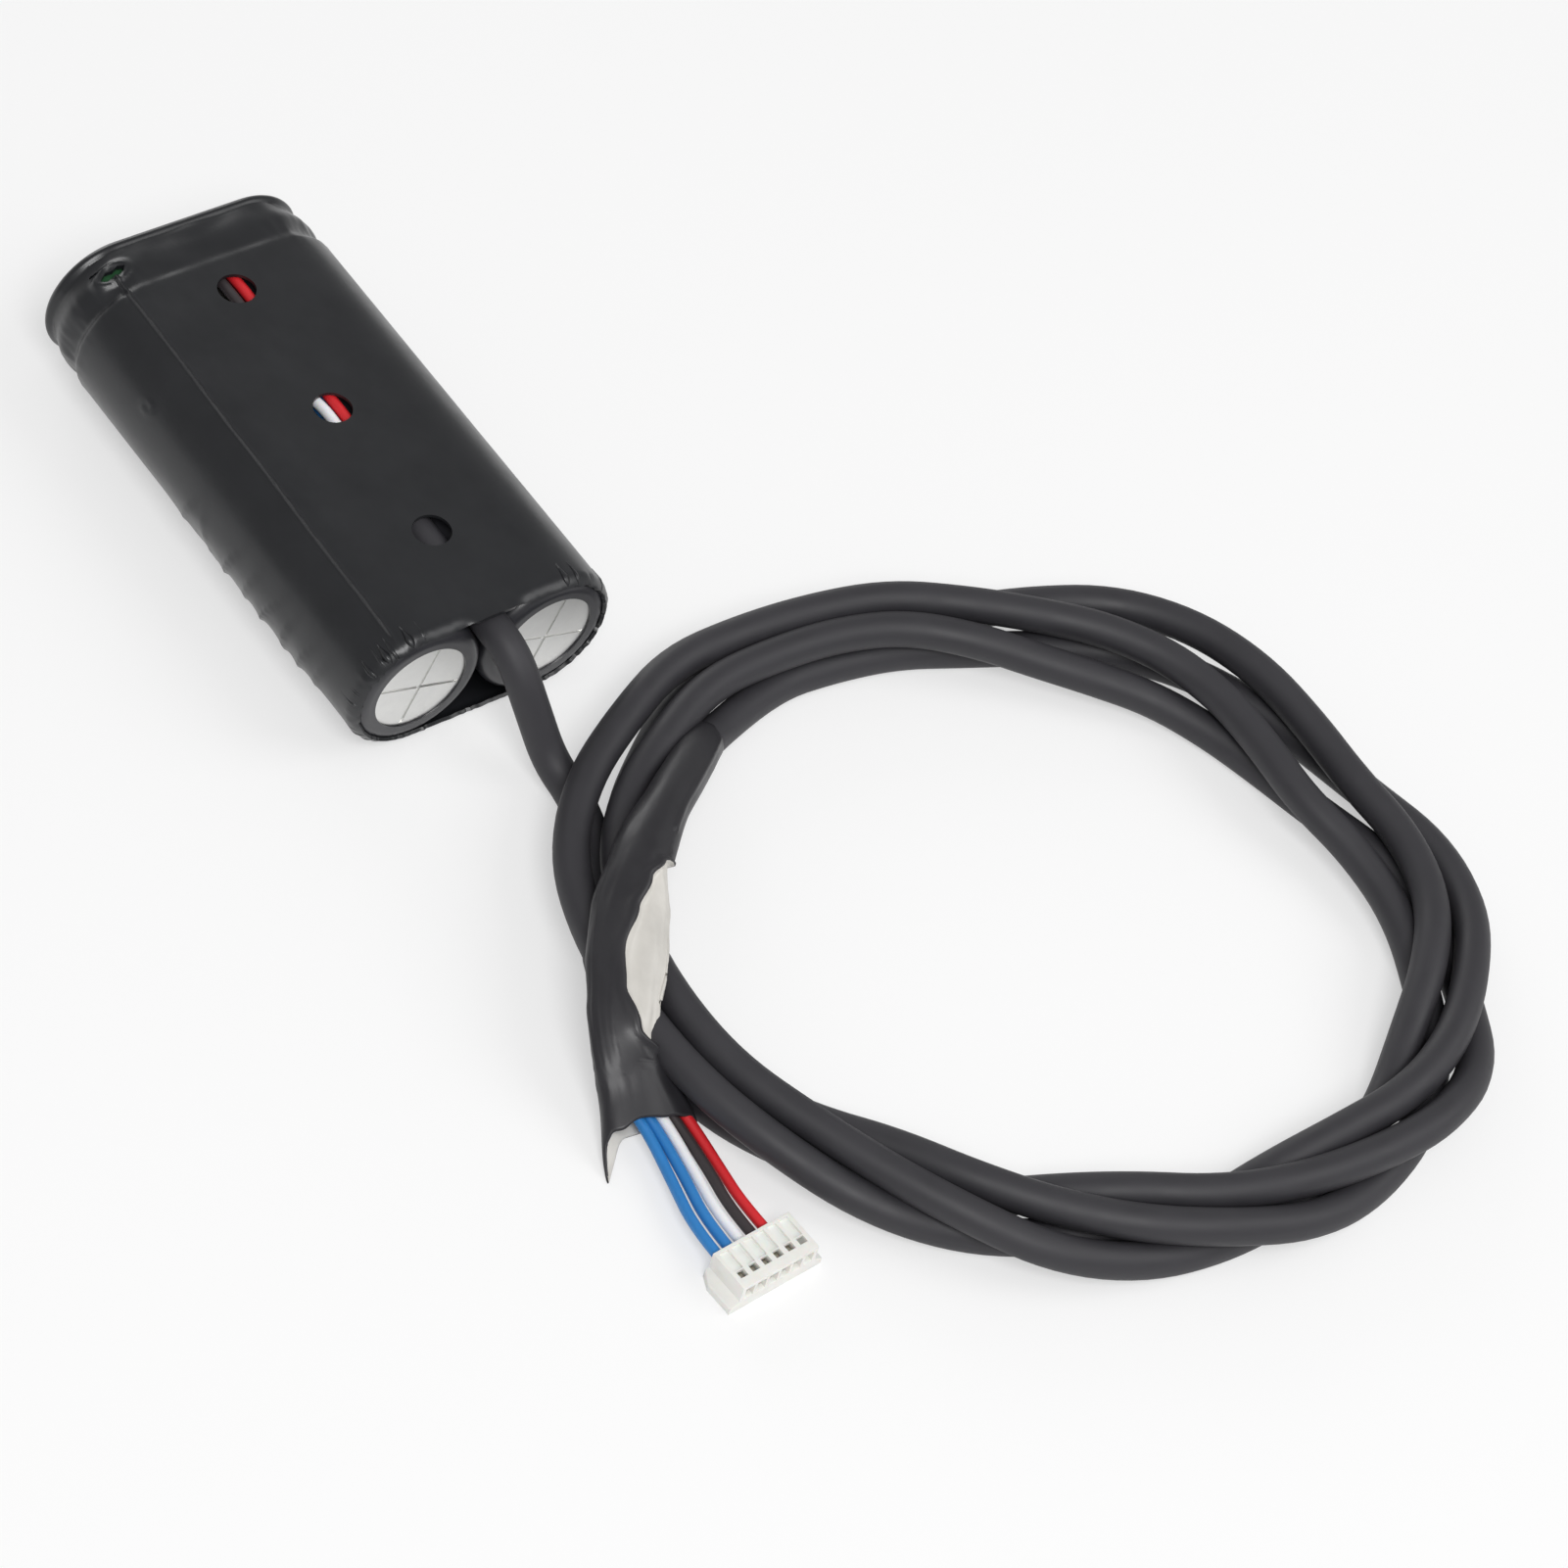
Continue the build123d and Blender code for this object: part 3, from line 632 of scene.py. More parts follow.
def sheath_angle(column, edge):
    """Angle of a column of the grid, in degrees. One column follows the dark film's edge."""
    if column < LINING_COLUMN:
        return -90 + (LINING_START + 90) * column / LINING_COLUMN
    if column < EDGE_COLUMN:
        return LINING_START + (edge - LINING_START) * (column - LINING_COLUMN) / (
            EDGE_COLUMN - LINING_COLUMN)
    return edge + (270 - edge) * (column - EDGE_COLUMN) / (SHEATH_RING - EDGE_COLUMN)


def sheath_rise(along, angle, edge):
    """How far the film stands off its plain section, in crinkles, creases, a seam and a lip."""
    a = radians(angle)
    seed = Vector((cos(a) * 1.7, sin(a) * 1.7, along * 0.16))
    crinkle = noise.noise(seed) * 0.5 + noise.noise(seed * 2.3) * 0.22
    loose = smooth(14, 26, along)
    rise = crinkle * (0.08 + 0.12 * loose)
    # A few long soft creases run to the mouth
    crease = abs(noise.noise(Vector((a * 1.5, along * 0.05, 4.0))))
    rise += (0.1 - min(0.1, crease)) * 0.7 * loose
    # The seam stands up a little along the snug part
    if along < SNUG_END:
        rise += SEAM_RISE * hump(angle, SEAM_ANGLE, SEAM_WIDTH) * smooth(0, 2, along)
    # The dark film ends in a lip over the lining
    if edge > NO_LENS:
        below = 1 - smooth(edge - 5, edge + 1, angle)
        inside = smooth(-75, -45, angle)
        rise -= LINING_DEPTH * below * inside * smooth(0, 60, edge - NO_LENS)
        rise += LIP_RISE * hump(angle - edge, 7, 8)
        crease = noise.noise(Vector((a * 2.4, along * 0.2, 9.0)))
        rise += LINING_CREASE * crease * below * inside
    return rise


def sheath_point(station, angle, edge):
    """Where the film is at a station and an angle round it, in metres."""
    along, middle, ahead, level, up = station
    width, height = between(SHEATH_WIDTH, along), between(SHEATH_HEIGHT, along)
    a = radians(angle)
    # The loose part's section is a little squarer
    squared = abs(cos(a)) ** (1 - 0.12 * smooth(14, 40, along)) * (1 if cos(a) > 0 else -1)
    across = squared * width / 2
    lift = sin(a) * height / 2
    normal = Vector((cos(a) / width, sin(a) / height)).normalized()
    rise = sheath_rise(along, angle, edge)
    # The mouth is cut unevenly, and its left corner runs out into a curled flap
    mouth = smooth(MOUTH_FROM, SHEATH_LENGTH, along)
    flap = hump(angle, *TONGUES[0][:2])
    stretch = 0.0
    for at, wide, reach in TONGUES:
        stretch += reach * mouth * hump(angle, at, wide)
    stretch += mouth * 0.25 * noise.noise(Vector((a * 2.5, 7.0, 1.0)))
    where = (middle + level * (across + normal.x * rise) + up * (lift + normal.y * rise)
             + ahead * stretch - level * FLAP_ASIDE * mouth * flap)
    where.z = max(where.z, SHEATH_FLOOR)
    return where * MM


class MODULE_OT_sheath(bpy.types.Operator):
    """Form the film sheath: snug on the cable, folded open over its lining, flat at its mouth."""
    bl_idname = "module.sheath"
    bl_label = "Sheath"

    def execute(self, context):
        stations = sheath_stations()
        mesh = bmesh.new()
        chart = mesh.loops.layers.uv.new("film")
        grid = []
        for station in stations:
            edge = lens_edge(station[0])
            grid.append([
                mesh.verts.new(sheath_point(station, sheath_angle(column, edge), edge))
                for column in range(SHEATH_RING)])
        for row in range(SHEATH_ROWS):
            opened = lens_edge((stations[row][0] + stations[row + 1][0]) / 2) > NO_LENS + 4
            for column, face in enumerate(band(mesh, grid[row], grid[row + 1])):
                pale = opened and LINING_COLUMN <= column < EDGE_COLUMN
                face.material_index = 1 if pale else 0
                corners = ((row, column), (row, column + 1), (row + 1, column + 1),
                           (row + 1, column))
                for loop, (down, around) in zip(face.loops, corners):
                    loop[chart].uv = (around / SHEATH_RING, down / SHEATH_ROWS)
        mesh.normal_update()
        top_of_snug_part = grid[SHEATH_ROWS // 6][2 * SHEATH_RING // 3]
        if top_of_snug_part.normal.z < 0:
            bmesh.ops.reverse_faces(mesh, faces=mesh.faces)
        sheath = new_object("sheath", settled(mesh, "sheath"))
        sheath.data.materials.append(finish("sheath_film"))
        sheath.data.materials.append(finish("sheath_lining"))
        wall = sheath.modifiers.new("wall", "SOLIDIFY")
        wall.thickness = 0.22 * MM
        wall.offset = -1
        wall.material_offset = 1
        wall.use_rim = True
        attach(sheath, "root")
        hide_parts("end_sheath")
        return {"FINISHED"}


CAN_LENGTH = 45.0
# Near rim: how far it stands out past the cans, its radius, how far its curl runs along the pack,
# the curl's angle in degrees and its rows
RIM_PAST_CAN, RIM_RADIUS, CURL_REACH, CURL_ANGLE, CURL_ROWS = 0.25, 5.2, 1.25, 53.75, 15
# Distance from row to row on the cans and in the neck
ROW_STEP, NECK_STEP = 0.42, 0.16
# Neck: distance behind the cans, and how far the film lies inside its full radius there
NECK = ((-0.5, 0), (0.55, 0.42), (2.45, 0.15), (4.68, 0.65), (5.28, 0.3))
# Far end: rows of its rounding, how far that draws in, and the radius of the open end
END_ROWS, END_ROUND, END_RADIUS = 8, 0.64, 4.6
# Columns over a flat and round a flank, and the closer ones where the crease runs: from, step and
# number
FLAT_COLUMNS, FLANK_COLUMNS = 34, 84
BAND_FROM, BAND_STEP, BAND_COLUMNS = 13.0, 0.45, 33
BAND_TO = 27.85
# Folds low on the left flank: station, slant, and height as a share of the largest
FOLDS = ((1.6, 0.05, 0.5), (-2.2, -0.03, 0.45), (-5.2, 0.05, 0.9), (-8.4, 0.04, 0.7),
         (-11.2, 0.06, 1.0), (-14.4, 0.03, 0.9), (-17.0, 0.05, 0.8), (-19.4, 0.04, 0.5))
# Crease: lean at the pack's middle in degrees, how much less it is each millimetre further back,
# and heights of its ridge, of the swell under that and of the hollow beside it
CREASE_LEAN, CREASE_SLOPE = 21.3, 0.135
RIDGE, SWELL, HOLLOW = 0.28, 0.06, 0.05
# Half the width of the near rim's lifted part, heights of the rim's pleats off the film and along
# the pack, and height of the whole film's unevenness
LIFT_HALF, PLEAT_RISE, PLEAT_REACH, UNEVEN = 2.6, 0.16, 0.22, 0.03
# How much of the neck's depth the film bridges between the cells
BRIDGED = 0.8
# Tear: its x, its distance behind the cans, and the height of its curled lips
TEAR_X, TEAR_BEHIND, TEAR_LIPS = -8.75, 2.45, 0.28
# Punched holes: y of the middle one, their pitch, and the corners of a round cut
HOLE_MIDDLE, HOLE_PITCH, HOLE_CORNERS = 0.1, 15.6, 72
# Heights from which and to which the cutters reach, over the cells and past the top
CUT_HEIGHTS = (11.0, 15.0)
# The film's underside rests on the floor, and its inside stays off it
INSIDE_FLOOR = 0.2


class SleeveForm:
    """Shape of the shrink sleeve: rows along the pack, columns round it, and each of its points."""

    def __init__(self):
        size = sizes("sleeve_sizes")
        self.half = size.length / MM / 2
        self.base = size.radius / MM
        self.wall = size.wall / MM
        self.half_pitch = size.pitch / MM / 2
        self.tallest = size.wrinkle / MM
        self.corner_y = -self.half + CURL_REACH
        self.can_end = -self.half + RIM_PAST_CAN + CAN_LENGTH
        self.rows = self.profile()

    def profile(self):
        """The outside along the pack, as (y, radius) rows, near rim first."""
        curl = self.base - RIM_RADIUS
        rows = []
        for step in range(CURL_ROWS + 1):
            angle = radians(CURL_ANGLE) * (1 - step / CURL_ROWS)
            rows.append((self.corner_y - curl * sin(angle), RIM_RADIUS + curl * cos(angle)))
        marks = [(self.can_end + behind, self.base - under) for behind, under in NECK]
        straight = marks[0][0] - self.corner_y
        count = int(straight / ROW_STEP)
        rows += [(self.corner_y + straight * step / count, self.base)
                 for step in range(1, count + 1)]
        for (y_low, r_low), (y_high, r_high) in zip(marks, marks[1:]):
            steps = max(4, int((y_high - y_low) / NECK_STEP))
            for step in range(1, steps + 1):
                share = step / steps
                rows.append((y_low + (y_high - y_low) * share,
                             r_low + (r_high - r_low) * smooth(0, 1, share)))
        turn, last = self.half - rows[-1][0], rows[-1][1]
        for step in range(1, END_ROWS + 1):
            angle = radians(90 * step / END_ROWS)
            rows.append((self.half - turn + turn * sin(angle), last - END_ROUND * (1 - cos(angle))))
        for left in (4, 3, 2, 1):
            rows.append((self.half, rows[-1][1] - (rows[-1][1] - END_RADIUS) / left))
        return rows

    def course(self):
        """Rows of the closed wall, out along the outside and back along the inside: y, radius, and
        how far the inside lies from there along the pack and outwards."""
        course = [(y, radius, 0.0, 0.0) for y, radius in self.rows]
        last = len(self.rows) - 1
        for place in range(last, -1, -1):
            before, after = self.rows[max(place - 1, 0)], self.rows[min(place + 1, last)]
            along, out = after[0] - before[0], after[1] - before[1]
            span = hypot(along, out)
            course.append((*self.rows[place], self.wall * out / span, -self.wall * along / span))
        return course

    def columns(self):
        """Columns round the section from the top flat: cell's side, lean from straight up in
        degrees, x, and 1 on the top flat or -1 on the bottom one."""
        across = [2 * self.half_pitch * (step + 0.5) / FLAT_COLUMNS for step in range(FLAT_COLUMNS)]
        leans = [BAND_FROM * step / 6 for step in range(7)]
        leans += [BAND_FROM + BAND_STEP * step for step in range(1, BAND_COLUMNS + 1)]
        leans += [BAND_TO + (180 - BAND_TO) * step / FLANK_COLUMNS
                  for step in range(1, FLANK_COLUMNS + 1)]
        columns = [(0, 0.0, self.half_pitch - x, 1) for x in across]
        columns += [(-1, lean, -self.half_pitch, 0) for lean in leans]
        columns += [(0, 180.0, -self.half_pitch + x, -1) for x in across]
        columns += [(1, 180 - 180 * step / FLANK_COLUMNS, self.half_pitch, 0)
                    for step in range(FLANK_COLUMNS + 1)]
        return columns

    def crease(self, lean, y):
        """Height of the crease that the flattened tube left on the left shoulder."""
        if not self.corner_y - 0.4 < y < self.can_end + 3.2:
            return 0.0
        middle = CREASE_LEAN - CREASE_SLOPE * y + 0.25 * sin(y * 0.4)
        off = (lean - middle) * pi / 180 * self.base
        ridge = hump(off, 0, 0.14) * RIDGE + hump(off, 0, 0.6) * SWELL
        ridge -= hump(off, 0.35, 0.16) * HOLLOW
        fade = smooth(self.corner_y - 0.4, self.corner_y + 1.5, y) * (
            1 - smooth(self.can_end + 1.8, self.can_end + 3.2, y))
        return ridge * fade * (0.85 + 0.5 * noise.noise(Vector((0, y * 0.9, 1))))

    def wrinkles(self, side, lean, y):
        """Height of the wrinkles at a place on a flank."""
        height = 0.0
        # Shallow folds across the left flank, low down, where the film shrank unevenly
        if side < 0:
            reach = smooth(62, 100, lean) * (1 - smooth(140, 165, lean))
            for fold_y, slant, tall in FOLDS:
                off = y - fold_y - slant * (lean - 110)
                width = 0.75 if off > 0 else 0.38
                height += self.tallest * tall * exp(-abs(off) / width) * reach
            height += 0.1 * reach * smooth(-22, -16, y) * (1 - smooth(0, 6, y)) * (
                0.6 + noise.noise(Vector((lean * 0.05, y * 0.35, 6.0))))
            # Small ring-shaped mark high on the flank
            height += 0.1 * hump(hypot((lean - 62) * 0.118, y - 9.6), 0.55, 0.22)
        # Soft gathers in the neck behind the cells
        neck = hump(y - self.can_end, 1.4, 1.9)
        height += 0.16 * neck * noise.noise(Vector((lean * 0.07 * side, y * 0.22, 2.0)))
        height += 0.1 * neck * noise.noise(Vector((lean * 0.16 * side, y * 0.4, 5.0)))
        return height

    def point(self, row, column):
        """Where the film is at a row and a column, in metres."""
        y, radius, inward, outward = row
        side, lean, x, flat = column
        here_y, here_r = y, radius
        outside = inward == 0 and outward == 0
        # The rim stays up where the cable passes under it
        lifted = exp(-(x / LIFT_HALF) ** 4) if flat == 1 else 0.0
        if lifted > 0.001 and y < self.corner_y:
            curl = self.base - RIM_RADIUS
            bend = asin(min(1.0, (self.corner_y - y) / curl))
            less = bend * (1 - lifted)
            arc = curl * (bend - less)
            here_y = self.corner_y - curl * sin(less) - arc * cos(less)
            here_r = RIM_RADIUS + curl * cos(less) - arc * sin(less) * 0.3
        # Irregular pleats round the curled rim
        start = self.corner_y + 0.6
        curled = smooth(start, self.rows[0][0], y) if y < start else 0.0
        place = x * 0.9 + lean * side * 0.12 + flat * 3
        pleat = (noise.noise(Vector((place * 1.1, 3.0 + flat, side)))
                 + 0.6 * noise.noise(Vector((place * 2.7, 5.0, side))))
        rise = PLEAT_RISE * pleat * curled * (1 - lifted * 0.6)
        here_y += PLEAT_REACH * pleat * curled ** 2 * (1 - lifted)
        if flat == 0:
            rise += self.wrinkles(side, lean, y)
        # The film bridges the neck between the cells and sags there only a little
        if self.can_end - 0.5 < y < self.can_end + 4.7:
            bridged = 1.0 if flat else 1 - smooth(0, 38, lean if lean < 90 else 180 - lean)
            rise += BRIDGED * bridged * (self.base - here_r) * (
                0.9 + 0.35 * noise.noise(Vector((x * 0.35 + lean * 0.02, y * 0.4, 8.0))))
        if outside and side == -1:
            rise += self.crease(lean, y)
        # Curled lips of the tear
        gap = hypot((x - FILM_RADIUS * sin(radians(lean)) - TEAR_X) / 1.5,
                    (y - self.can_end - TEAR_BEHIND) / 0.9)
        rise += TEAR_LIPS * hump(gap, 1.0, 0.32) * outside
        # Soft unevenness of the whole film
        if y < self.can_end + 4.5:
            seed = Vector((x * 0.12 + side * lean * 0.013, y * 0.09, flat))
            rise += UNEVEN * (noise.noise(seed) + 0.5)
        here_y += inward * (1 - lifted)
        reach = here_r + rise + outward * (1 - lifted)
        if lifted and not outside:
            reach -= self.wall * lifted
        if flat:
            point = Vector((x, here_y, flat * reach))
        else:
            tilt = radians(lean)
            point = Vector((x + side * reach * sin(tilt), here_y, reach * cos(tilt)))
        point.z = max(point.z + self.base, 0.0 if outside else INSIDE_FLOOR)
        return point * MM


class MODULE_OT_sleeve(bpy.types.Operator):
    """Form the shrink sleeve: curled rim, crease, wrinkles, neck, punched holes and a tear."""
    bl_idname = "module.sleeve"
    bl_label = "Shrink sleeve"

    def execute(self, context):
        form = SleeveForm()
        columns = form.columns()
        mesh = bmesh.new()
        grid = [[mesh.verts.new(form.point(row, column)) for column in columns]
                for row in form.course()]
        for low, high in zip(grid, grid[1:] + grid[:1]):
            band(mesh, low, high)
        bmesh.ops.recalc_face_normals(mesh, faces=mesh.faces)
        sleeve = new_object("sleeve", settled(mesh, "sleeve"))
        tear_y = form.can_end + TEAR_BEHIND
        cutters = [self.hole_cutter(HOLE_MIDDLE + step * HOLE_PITCH) for step in (-1, 0, 1)]
        cutters += [self.tear_cutter(TEAR_X, tear_y, 1.0),
                    self.tear_cutter(TEAR_X - 1.15, tear_y + 1.15, 0.35)]
        for place, cutter in enumerate(cutters):
            cut = sleeve.modifiers.new(f"cut_{place}", "BOOLEAN")
            cut.operation = "DIFFERENCE"
            cut.solver = "EXACT"
            cut.object = cutter
        done = evaluated(sleeve)
        sleeve.modifiers.clear()
        sleeve.data = done
        for cutter in cutters:
            bpy.data.objects.remove(cutter)
        done.materials.clear()
        done.materials.append(finish("sleeve_film"))
        for face in done.polygons:
            face.material_index = 0
            face.use_smooth = True
        done.set_sharp_from_angle(angle=radians(40))
        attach(sleeve, "root")
        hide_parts("outer_sleeve")
        return {"FINISHED"}

    def cutter(self, outline):
        """An upright prism over an outline, through the sleeve's top wall."""
        mesh = bmesh.new()
        low, high = [[mesh.verts.new((x * MM, y * MM, height * MM)) for x, y in outline]
                     for height in CUT_HEIGHTS]
        mesh.faces.new(low[::-1])
        mesh.faces.new(high)
        band(mesh, low, high)
        return new_object("cutter", settled(mesh, "cutter"))

    def hole_cutter(self, y):
        """A round punched hole, a little uneven where the film shrank after punching."""
        radius = sizes("sleeve_sizes").hole / MM / 2
        outline = []
        for step in range(HOLE_CORNERS):
            angle = 2 * pi * step / HOLE_CORNERS
            uneven = 1 + 0.03 * noise.noise(Vector((cos(angle) * 1.2, sin(angle) * 1.2, y)))
            outline.append((radius * uneven * cos(angle), y + radius * uneven * sin(angle)))
        return self.cutter(outline)

    def tear_cutter(self, x, y, scale):
        """A short ragged tear at the crease's far end."""
        outline = ((-1.2, -0.1), (-0.7, -0.42), (-0.1, -0.3), (0.45, -0.5), (0.9, -0.3),
                   (1.2, 0.05), (0.7, 0.42), (0.2, 0.3), (-0.4, 0.5), (-0.9, 0.24))
        return self.cutter([(x + across * scale, y + along * scale) for across, along in outline])


def pleat_mesh():
    """One thin pleat over the top of a curled rim, measured from the cell's axis."""
    form = SleeveForm()
    full = form.rows[CURL_ROWS][1]
    run = [(form.corner_y + 1.1, full), (form.corner_y + 0.5, full), *form.rows[CURL_ROWS::-2]]
    mesh = bmesh.new()
    rings = []
    for place, (y, radius) in enumerate(run):
        # Widest in the middle and thin at both ends
        share = sin(pi * (place + 0.35) / (len(run) - 0.3))
        half, tall = 0.26 * share, 0.07 * share
        rings.append([mesh.verts.new((across * MM, y * MM, (radius + lift) * MM))
                      for across, lift in ((-half, -0.05), (0, tall), (half, -0.05))])
    for low, high in zip(rings, rings[1:]):
        band(mesh, low, high)
    mesh.faces.new(rings[0])
    mesh.faces.new(rings[-1][::-1])
    bmesh.ops.recalc_face_normals(mesh, faces=mesh.faces)
    return settled(mesh, "pleat")


def pleat_tree():
    """Geometry Nodes: copies of one pleat round the outer half of both cells' rims."""
    tree = bpy.data.node_groups.new("rim_pleats", "GeometryNodeTree")
    face = tree.interface
    face.new_socket("Pleat", in_out="INPUT", socket_type="NodeSocketGeometry")
    for name, kind, value in (("Count", "NodeSocketInt", PLEAT_COUNT),
                              ("Half pitch", "NodeSocketFloat", 6.5 * MM),
                              ("Axis height", "NodeSocketFloat", FILM_RADIUS * MM),
                              ("Seed", "NodeSocketInt", 7)):
        face.new_socket(name, in_out="INPUT", socket_type=kind).default_value = value
    face.new_socket("Film", in_out="INPUT", socket_type="NodeSocketMaterial")
    face.new_socket("Pleats", in_out="OUTPUT", socket_type="NodeSocketGeometry")
    given = add(tree, "NodeGroupInput")
    # The first half of the copies goes to the left cell, the second to the right one
    half = add(tree, "ShaderNodeMath", {"operation": "DIVIDE"}, at_0=(given, "Count"), at_1=2.0)
    index = add(tree, "GeometryNodeInputIndex")
    on_right = add(tree, "ShaderNodeMath", {"operation": "GREATER_THAN"},
                   at_0=(index, "Index"), at_1=(half, "Value"))
    side = add(tree, "ShaderNodeMath", {"operation": "MULTIPLY_ADD"},
               at_0=(on_right, "Value"), at_1=2.0, at_2=-1.0)
    share = add(tree, "ShaderNodeMath", {"operation": "DIVIDE"},
                at_0=(index, "Index"), at_1=(half, "Value"))
    turn = add(tree, "ShaderNodeMath", {"operation": "FRACT"}, at_0=(share, "Value"))
    jitter = add(tree, "FunctionNodeRandomValue", {"data_type": "FLOAT"}, Min=-0.045, Max=0.045,
                 Seed=(given, "Seed"))
    moved = add(tree, "ShaderNodeMath", {"operation": "ADD"}, at_0=(turn, "Value"),
                at_1=(jitter, "Value"))
    lean = add(tree, "ShaderNodeMath", {"operation": "MULTIPLY"}, at_0=(moved, "Value"),
               at_1=radians(172))
    signed = add(tree, "ShaderNodeMath", {"operation": "MULTIPLY"}, at_0=(lean, "Value"),
                 at_1=(side, "Value"))
    turned = add(tree, "ShaderNodeCombineXYZ", Y=(signed, "Value"))
    across = add(tree, "ShaderNodeMath", {"operation": "MULTIPLY"}, at_0=(side, "Value"),
                 at_1=(given, "Half pitch"))
    spot = add(tree, "ShaderNodeCombineXYZ", X=(across, "Value"), Z=(given, "Axis height"))
    points = add(tree, "GeometryNodePoints", Count=(given, "Count"), Position=(spot, "Vector"))
    size = add(tree, "FunctionNodeRandomValue", {"data_type": "FLOAT_VECTOR"},
               Min=(0.5, 1, 0.994), Max=(1.6, 1, 1.008), Seed=(given, "Seed"))
    copies = add(tree, "GeometryNodeInstanceOnPoints", Points=(points, "Points"),
                 Instance=(given, "Pleat"), Rotation=(turned, "Vector"), Scale=(size, "Value"))
    real = add(tree, "GeometryNodeRealizeInstances", Geometry=(copies, "Instances"))
    painted = add(tree, "GeometryNodeSetMaterial", Geometry=(real, "Geometry"),
                  Material=(given, "Film"))
    add(tree, "NodeGroupOutput", Pleats=(painted, "Geometry"))
    return tree


class MODULE_OT_pleats(bpy.types.Operator):
    """Repeat small pleats round the curled rim of the sleeve."""
    bl_idname = "module.pleats"
    bl_label = "Rim pleats"

    def execute(self, context):
        size = sizes("sleeve_sizes")
        pleats = new_object("rim_pleats", pleat_mesh())
        repeat = pleats.modifiers.new("repeat", "NODES")
        repeat.node_group = pleat_tree()
        inputs = {item.name: item.identifier for item in repeat.node_group.interface.items_tree
                  if item.in_out == "INPUT"}
        repeat[inputs["Count"]] = size.pleats
        repeat[inputs["Half pitch"]] = size.pitch / 2
        repeat[inputs["Axis height"]] = size.radius
        repeat[inputs["Film"]] = finish("sleeve_film")
        done = evaluated(pleats)
        pleats.modifiers.clear()
        pleats.data = done
        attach(pleats, "root")
        return {"FINISHED"}


class MODULE_OT_plug(bpy.types.Operator):
    """Round the edges of the moulded plug housing."""
    bl_idname = "module.plug"
    bl_label = "Plug housing"

    def execute(self, context):
        carried = frame["nodes"]["plug_housing"]
        mesh = bmesh.new()
        mesh.from_mesh(carried.data)
        mesh.transform(carried.matrix_world)
        bmesh.ops.remove_doubles(mesh, verts=mesh.verts, dist=0.002 * MM)
        bmesh.ops.dissolve_limit(mesh, angle_limit=radians(1), verts=mesh.verts,
                                 edges=mesh.edges)
        sharp = [edge for edge in mesh.edges
                 if len(edge.link_faces) == 2 and edge.calc_face_angle(0) > radians(25)]
        bmesh.ops.bevel(mesh, geom=sharp, offset=0.06 * MM, segments=2, profile=0.6,
                        affect="EDGES", clamp_overlap=True)
        bmesh.ops.triangulate(mesh, faces=mesh.faces)
        plug = new_object("plug", settled(mesh, "plug"))
        plug.data.materials.append(finish("plug_nylon"))
        plug.data.set_sharp_from_angle(angle=radians(30))
        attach(plug, "root")
        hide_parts("plug_housing")
        return {"FINISHED"}


class MODULE_OT_declare(bpy.types.Operator):
    """Hide the carried-over cable pieces, which the laid cable replaces."""
    bl_idname = "module.declare"
    bl_label = "Declare cords"

    def execute(self, context):
        size = sizes("cable_sizes")
        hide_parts("cable_lead", "cable_coil", "cable_tail")
        return {"FINISHED"}


# Lamps: name, place and size in metres, watts. All of them face the module
LAMPS = (("key", (-0.28, -0.5, 0.75), 0.45, 4.8), ("fill", (0.55, -0.45, 0.6), 0.6, 2.2),
         ("rim", (0.2, 0.8, 0.25), 0.5, 1.6))
LAMP_AIM = Vector((0.02, -0.04, 0))
FLOOR_REACH = 3.0
# Strengths of the floor's own glow and of the sky, as they light the module and as they are seen
FLOOR_GLOW = 0.5
SKY_LIGHT, SKY_SEEN = 0.34, 1.0


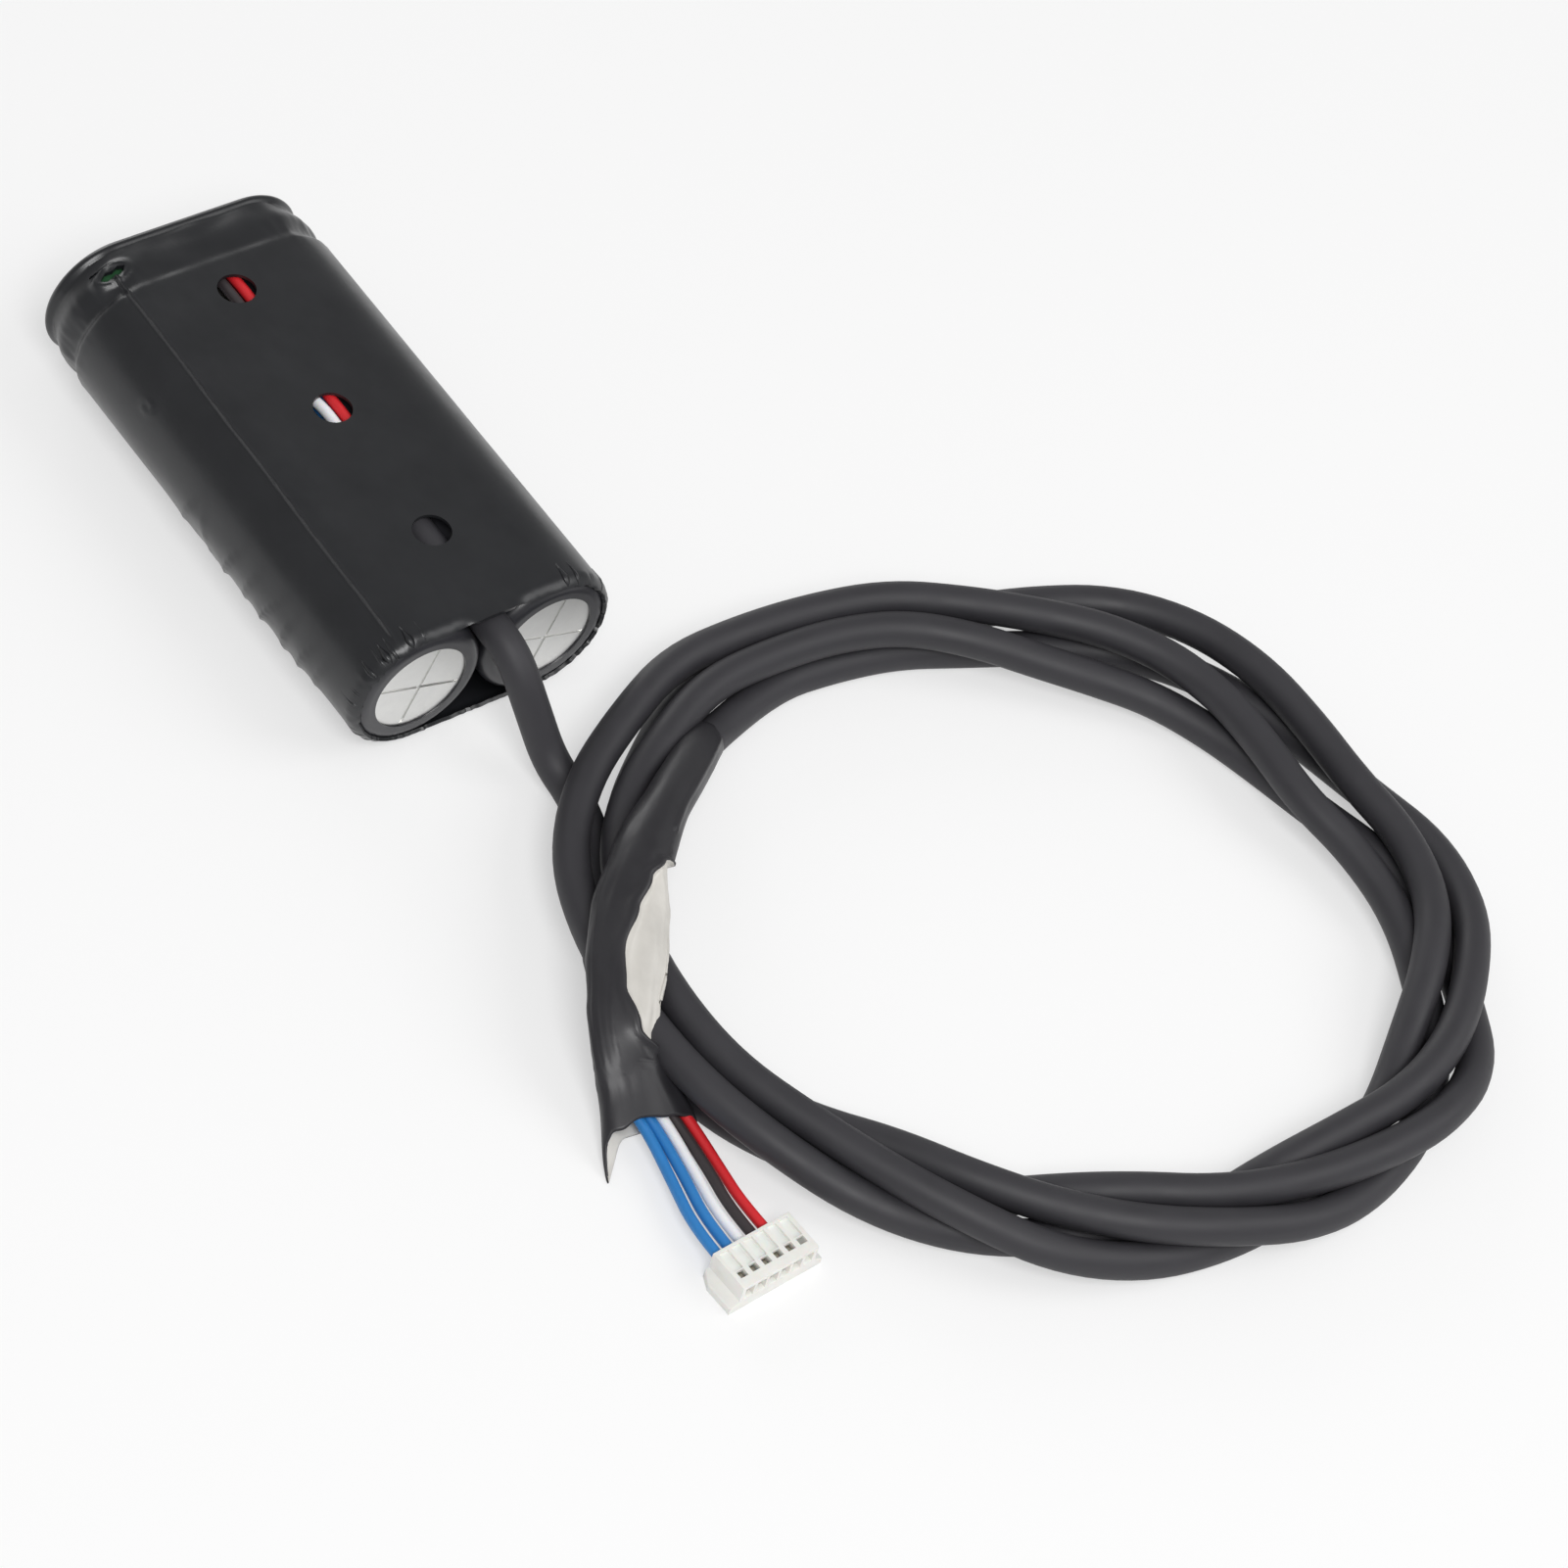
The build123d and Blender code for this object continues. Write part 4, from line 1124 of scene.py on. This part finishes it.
class MODULE_OT_stage(bpy.types.Operator):
    """Lay a pale studio floor and hang soft lamps over the module."""
    bl_idname = "module.stage"
    bl_label = "Stage"

    def execute(self, context):
        data = bpy.data.meshes.new("floor")
        corners = [(x * FLOOR_REACH, y * FLOOR_REACH, 0)
                   for x, y in ((-1, -1), (1, -1), (1, 1), (-1, 1))]
        data.from_pydata(corners, [], [(0, 1, 2, 3)])
        floor = new_object("floor", data)
        pale = bpy.data.materials.new("pale_studio_floor")
        tree = emptied(pale)
        shader = add(tree, "ShaderNodeBsdfPrincipled", Roughness=0.9, Specular_IOR_Level=0.1,
                     Base_Color=shade(sizes("finishes").floor, 1))
        # The glow is for the eye, and for what metal and clear parts show of the floor
        path = add(tree, "ShaderNodeLightPath")
        seen = add(tree, "ShaderNodeMath", {"operation": "MAXIMUM"},
                   at_0=(path, "Is Camera Ray"), at_1=(path, "Is Glossy Ray"))
        both = add(tree, "ShaderNodeMath", {"operation": "MAXIMUM"},
                   at_0=(seen, "Value"), at_1=(path, "Is Transmission Ray"))
        share = add(tree, "ShaderNodeMath", {"operation": "MULTIPLY"},
                    at_0=(both, "Value"), at_1=FLOOR_GLOW)
        glow = add(tree, "ShaderNodeEmission", Color=(1, 1, 1, 1), Strength=1.0)
        mixed = add(tree, "ShaderNodeMixShader", at_0=(share, "Value"), at_1=(shader, "BSDF"),
                    at_2=(glow, "Emission"))
        add(tree, "ShaderNodeOutputMaterial", Surface=(mixed, "Shader"))
        data.materials.append(pale)
        world = bpy.data.worlds.new("studio")
        sky = emptied(world)
        path = add(sky, "ShaderNodeLightPath")
        seen = add(sky, "ShaderNodeMath", {"operation": "MAXIMUM"},
                   at_0=(path, "Is Camera Ray"), at_1=(path, "Is Transmission Ray"))
        level = add(sky, "ShaderNodeMapRange", Value=(seen, "Value"), To_Min=SKY_LIGHT,
                    To_Max=SKY_SEEN)
        white = add(sky, "ShaderNodeBackground", Color=(1, 1, 1, 1), Strength=(level, "Result"))
        add(sky, "ShaderNodeOutputWorld", Surface=(white, "Background"))
        context.scene.world = world
        for name, place, wide, power in LAMPS:
            lamp = bpy.data.lights.new(name, "AREA")
            lamp.energy = power
            lamp.shape = "DISK"
            lamp.size = wide
            hung = new_object(name, lamp)
            hung.location = place
            facing = LAMP_AIM - Vector(place)
            hung.rotation_euler = facing.to_track_quat("-Z", "Y").to_euler()
        context.scene.view_settings.view_transform = "Standard"
        return {"FINISHED"}


STEPS = (MODULE_OT_camera, MODULE_OT_materials, MODULE_OT_cable, MODULE_OT_wires,
         MODULE_OT_sheath, MODULE_OT_sleeve, MODULE_OT_pleats, MODULE_OT_plug,
         MODULE_OT_declare, MODULE_OT_stage)


class MODULE_PT_panel(bpy.types.Panel):
    """Sizes, colours and the steps that build the module."""
    bl_idname = "MODULE_PT_panel"
    bl_label = "Supercapacitor module"
    bl_space_type = "VIEW_3D"
    bl_region_type = "UI"
    bl_category = "Module"

    def draw(self, context):
        for name, group in SETS.items():
            box = self.layout.box()
            for key in group.__annotations__:
                box.prop(getattr(context.scene, name), key)
        for operator in STEPS:
            self.layout.operator(operator.bl_idname)


def register():
    for group in SETS.values():
        bpy.utils.register_class(group)
    for name, group in SETS.items():
        setattr(bpy.types.Scene, name, bpy.props.PointerProperty(type=group))
    for operator in (*STEPS, MODULE_PT_panel):
        bpy.utils.register_class(operator)


def unregister():
    for operator in (*STEPS, MODULE_PT_panel):
        bpy.utils.unregister_class(operator)
    for name, group in SETS.items():
        delattr(bpy.types.Scene, name)
        bpy.utils.unregister_class(group)


def main():
    register()
    bpy.ops.module.camera()
    bpy.ops.module.materials()
    bpy.ops.module.cable()
    bpy.ops.module.wires()
    bpy.ops.module.sheath()
    bpy.ops.module.sleeve()
    bpy.ops.module.pleats()
    bpy.ops.module.plug()
    bpy.ops.module.declare()
    bpy.ops.module.stage()


if __name__ == "__main__":
    main()
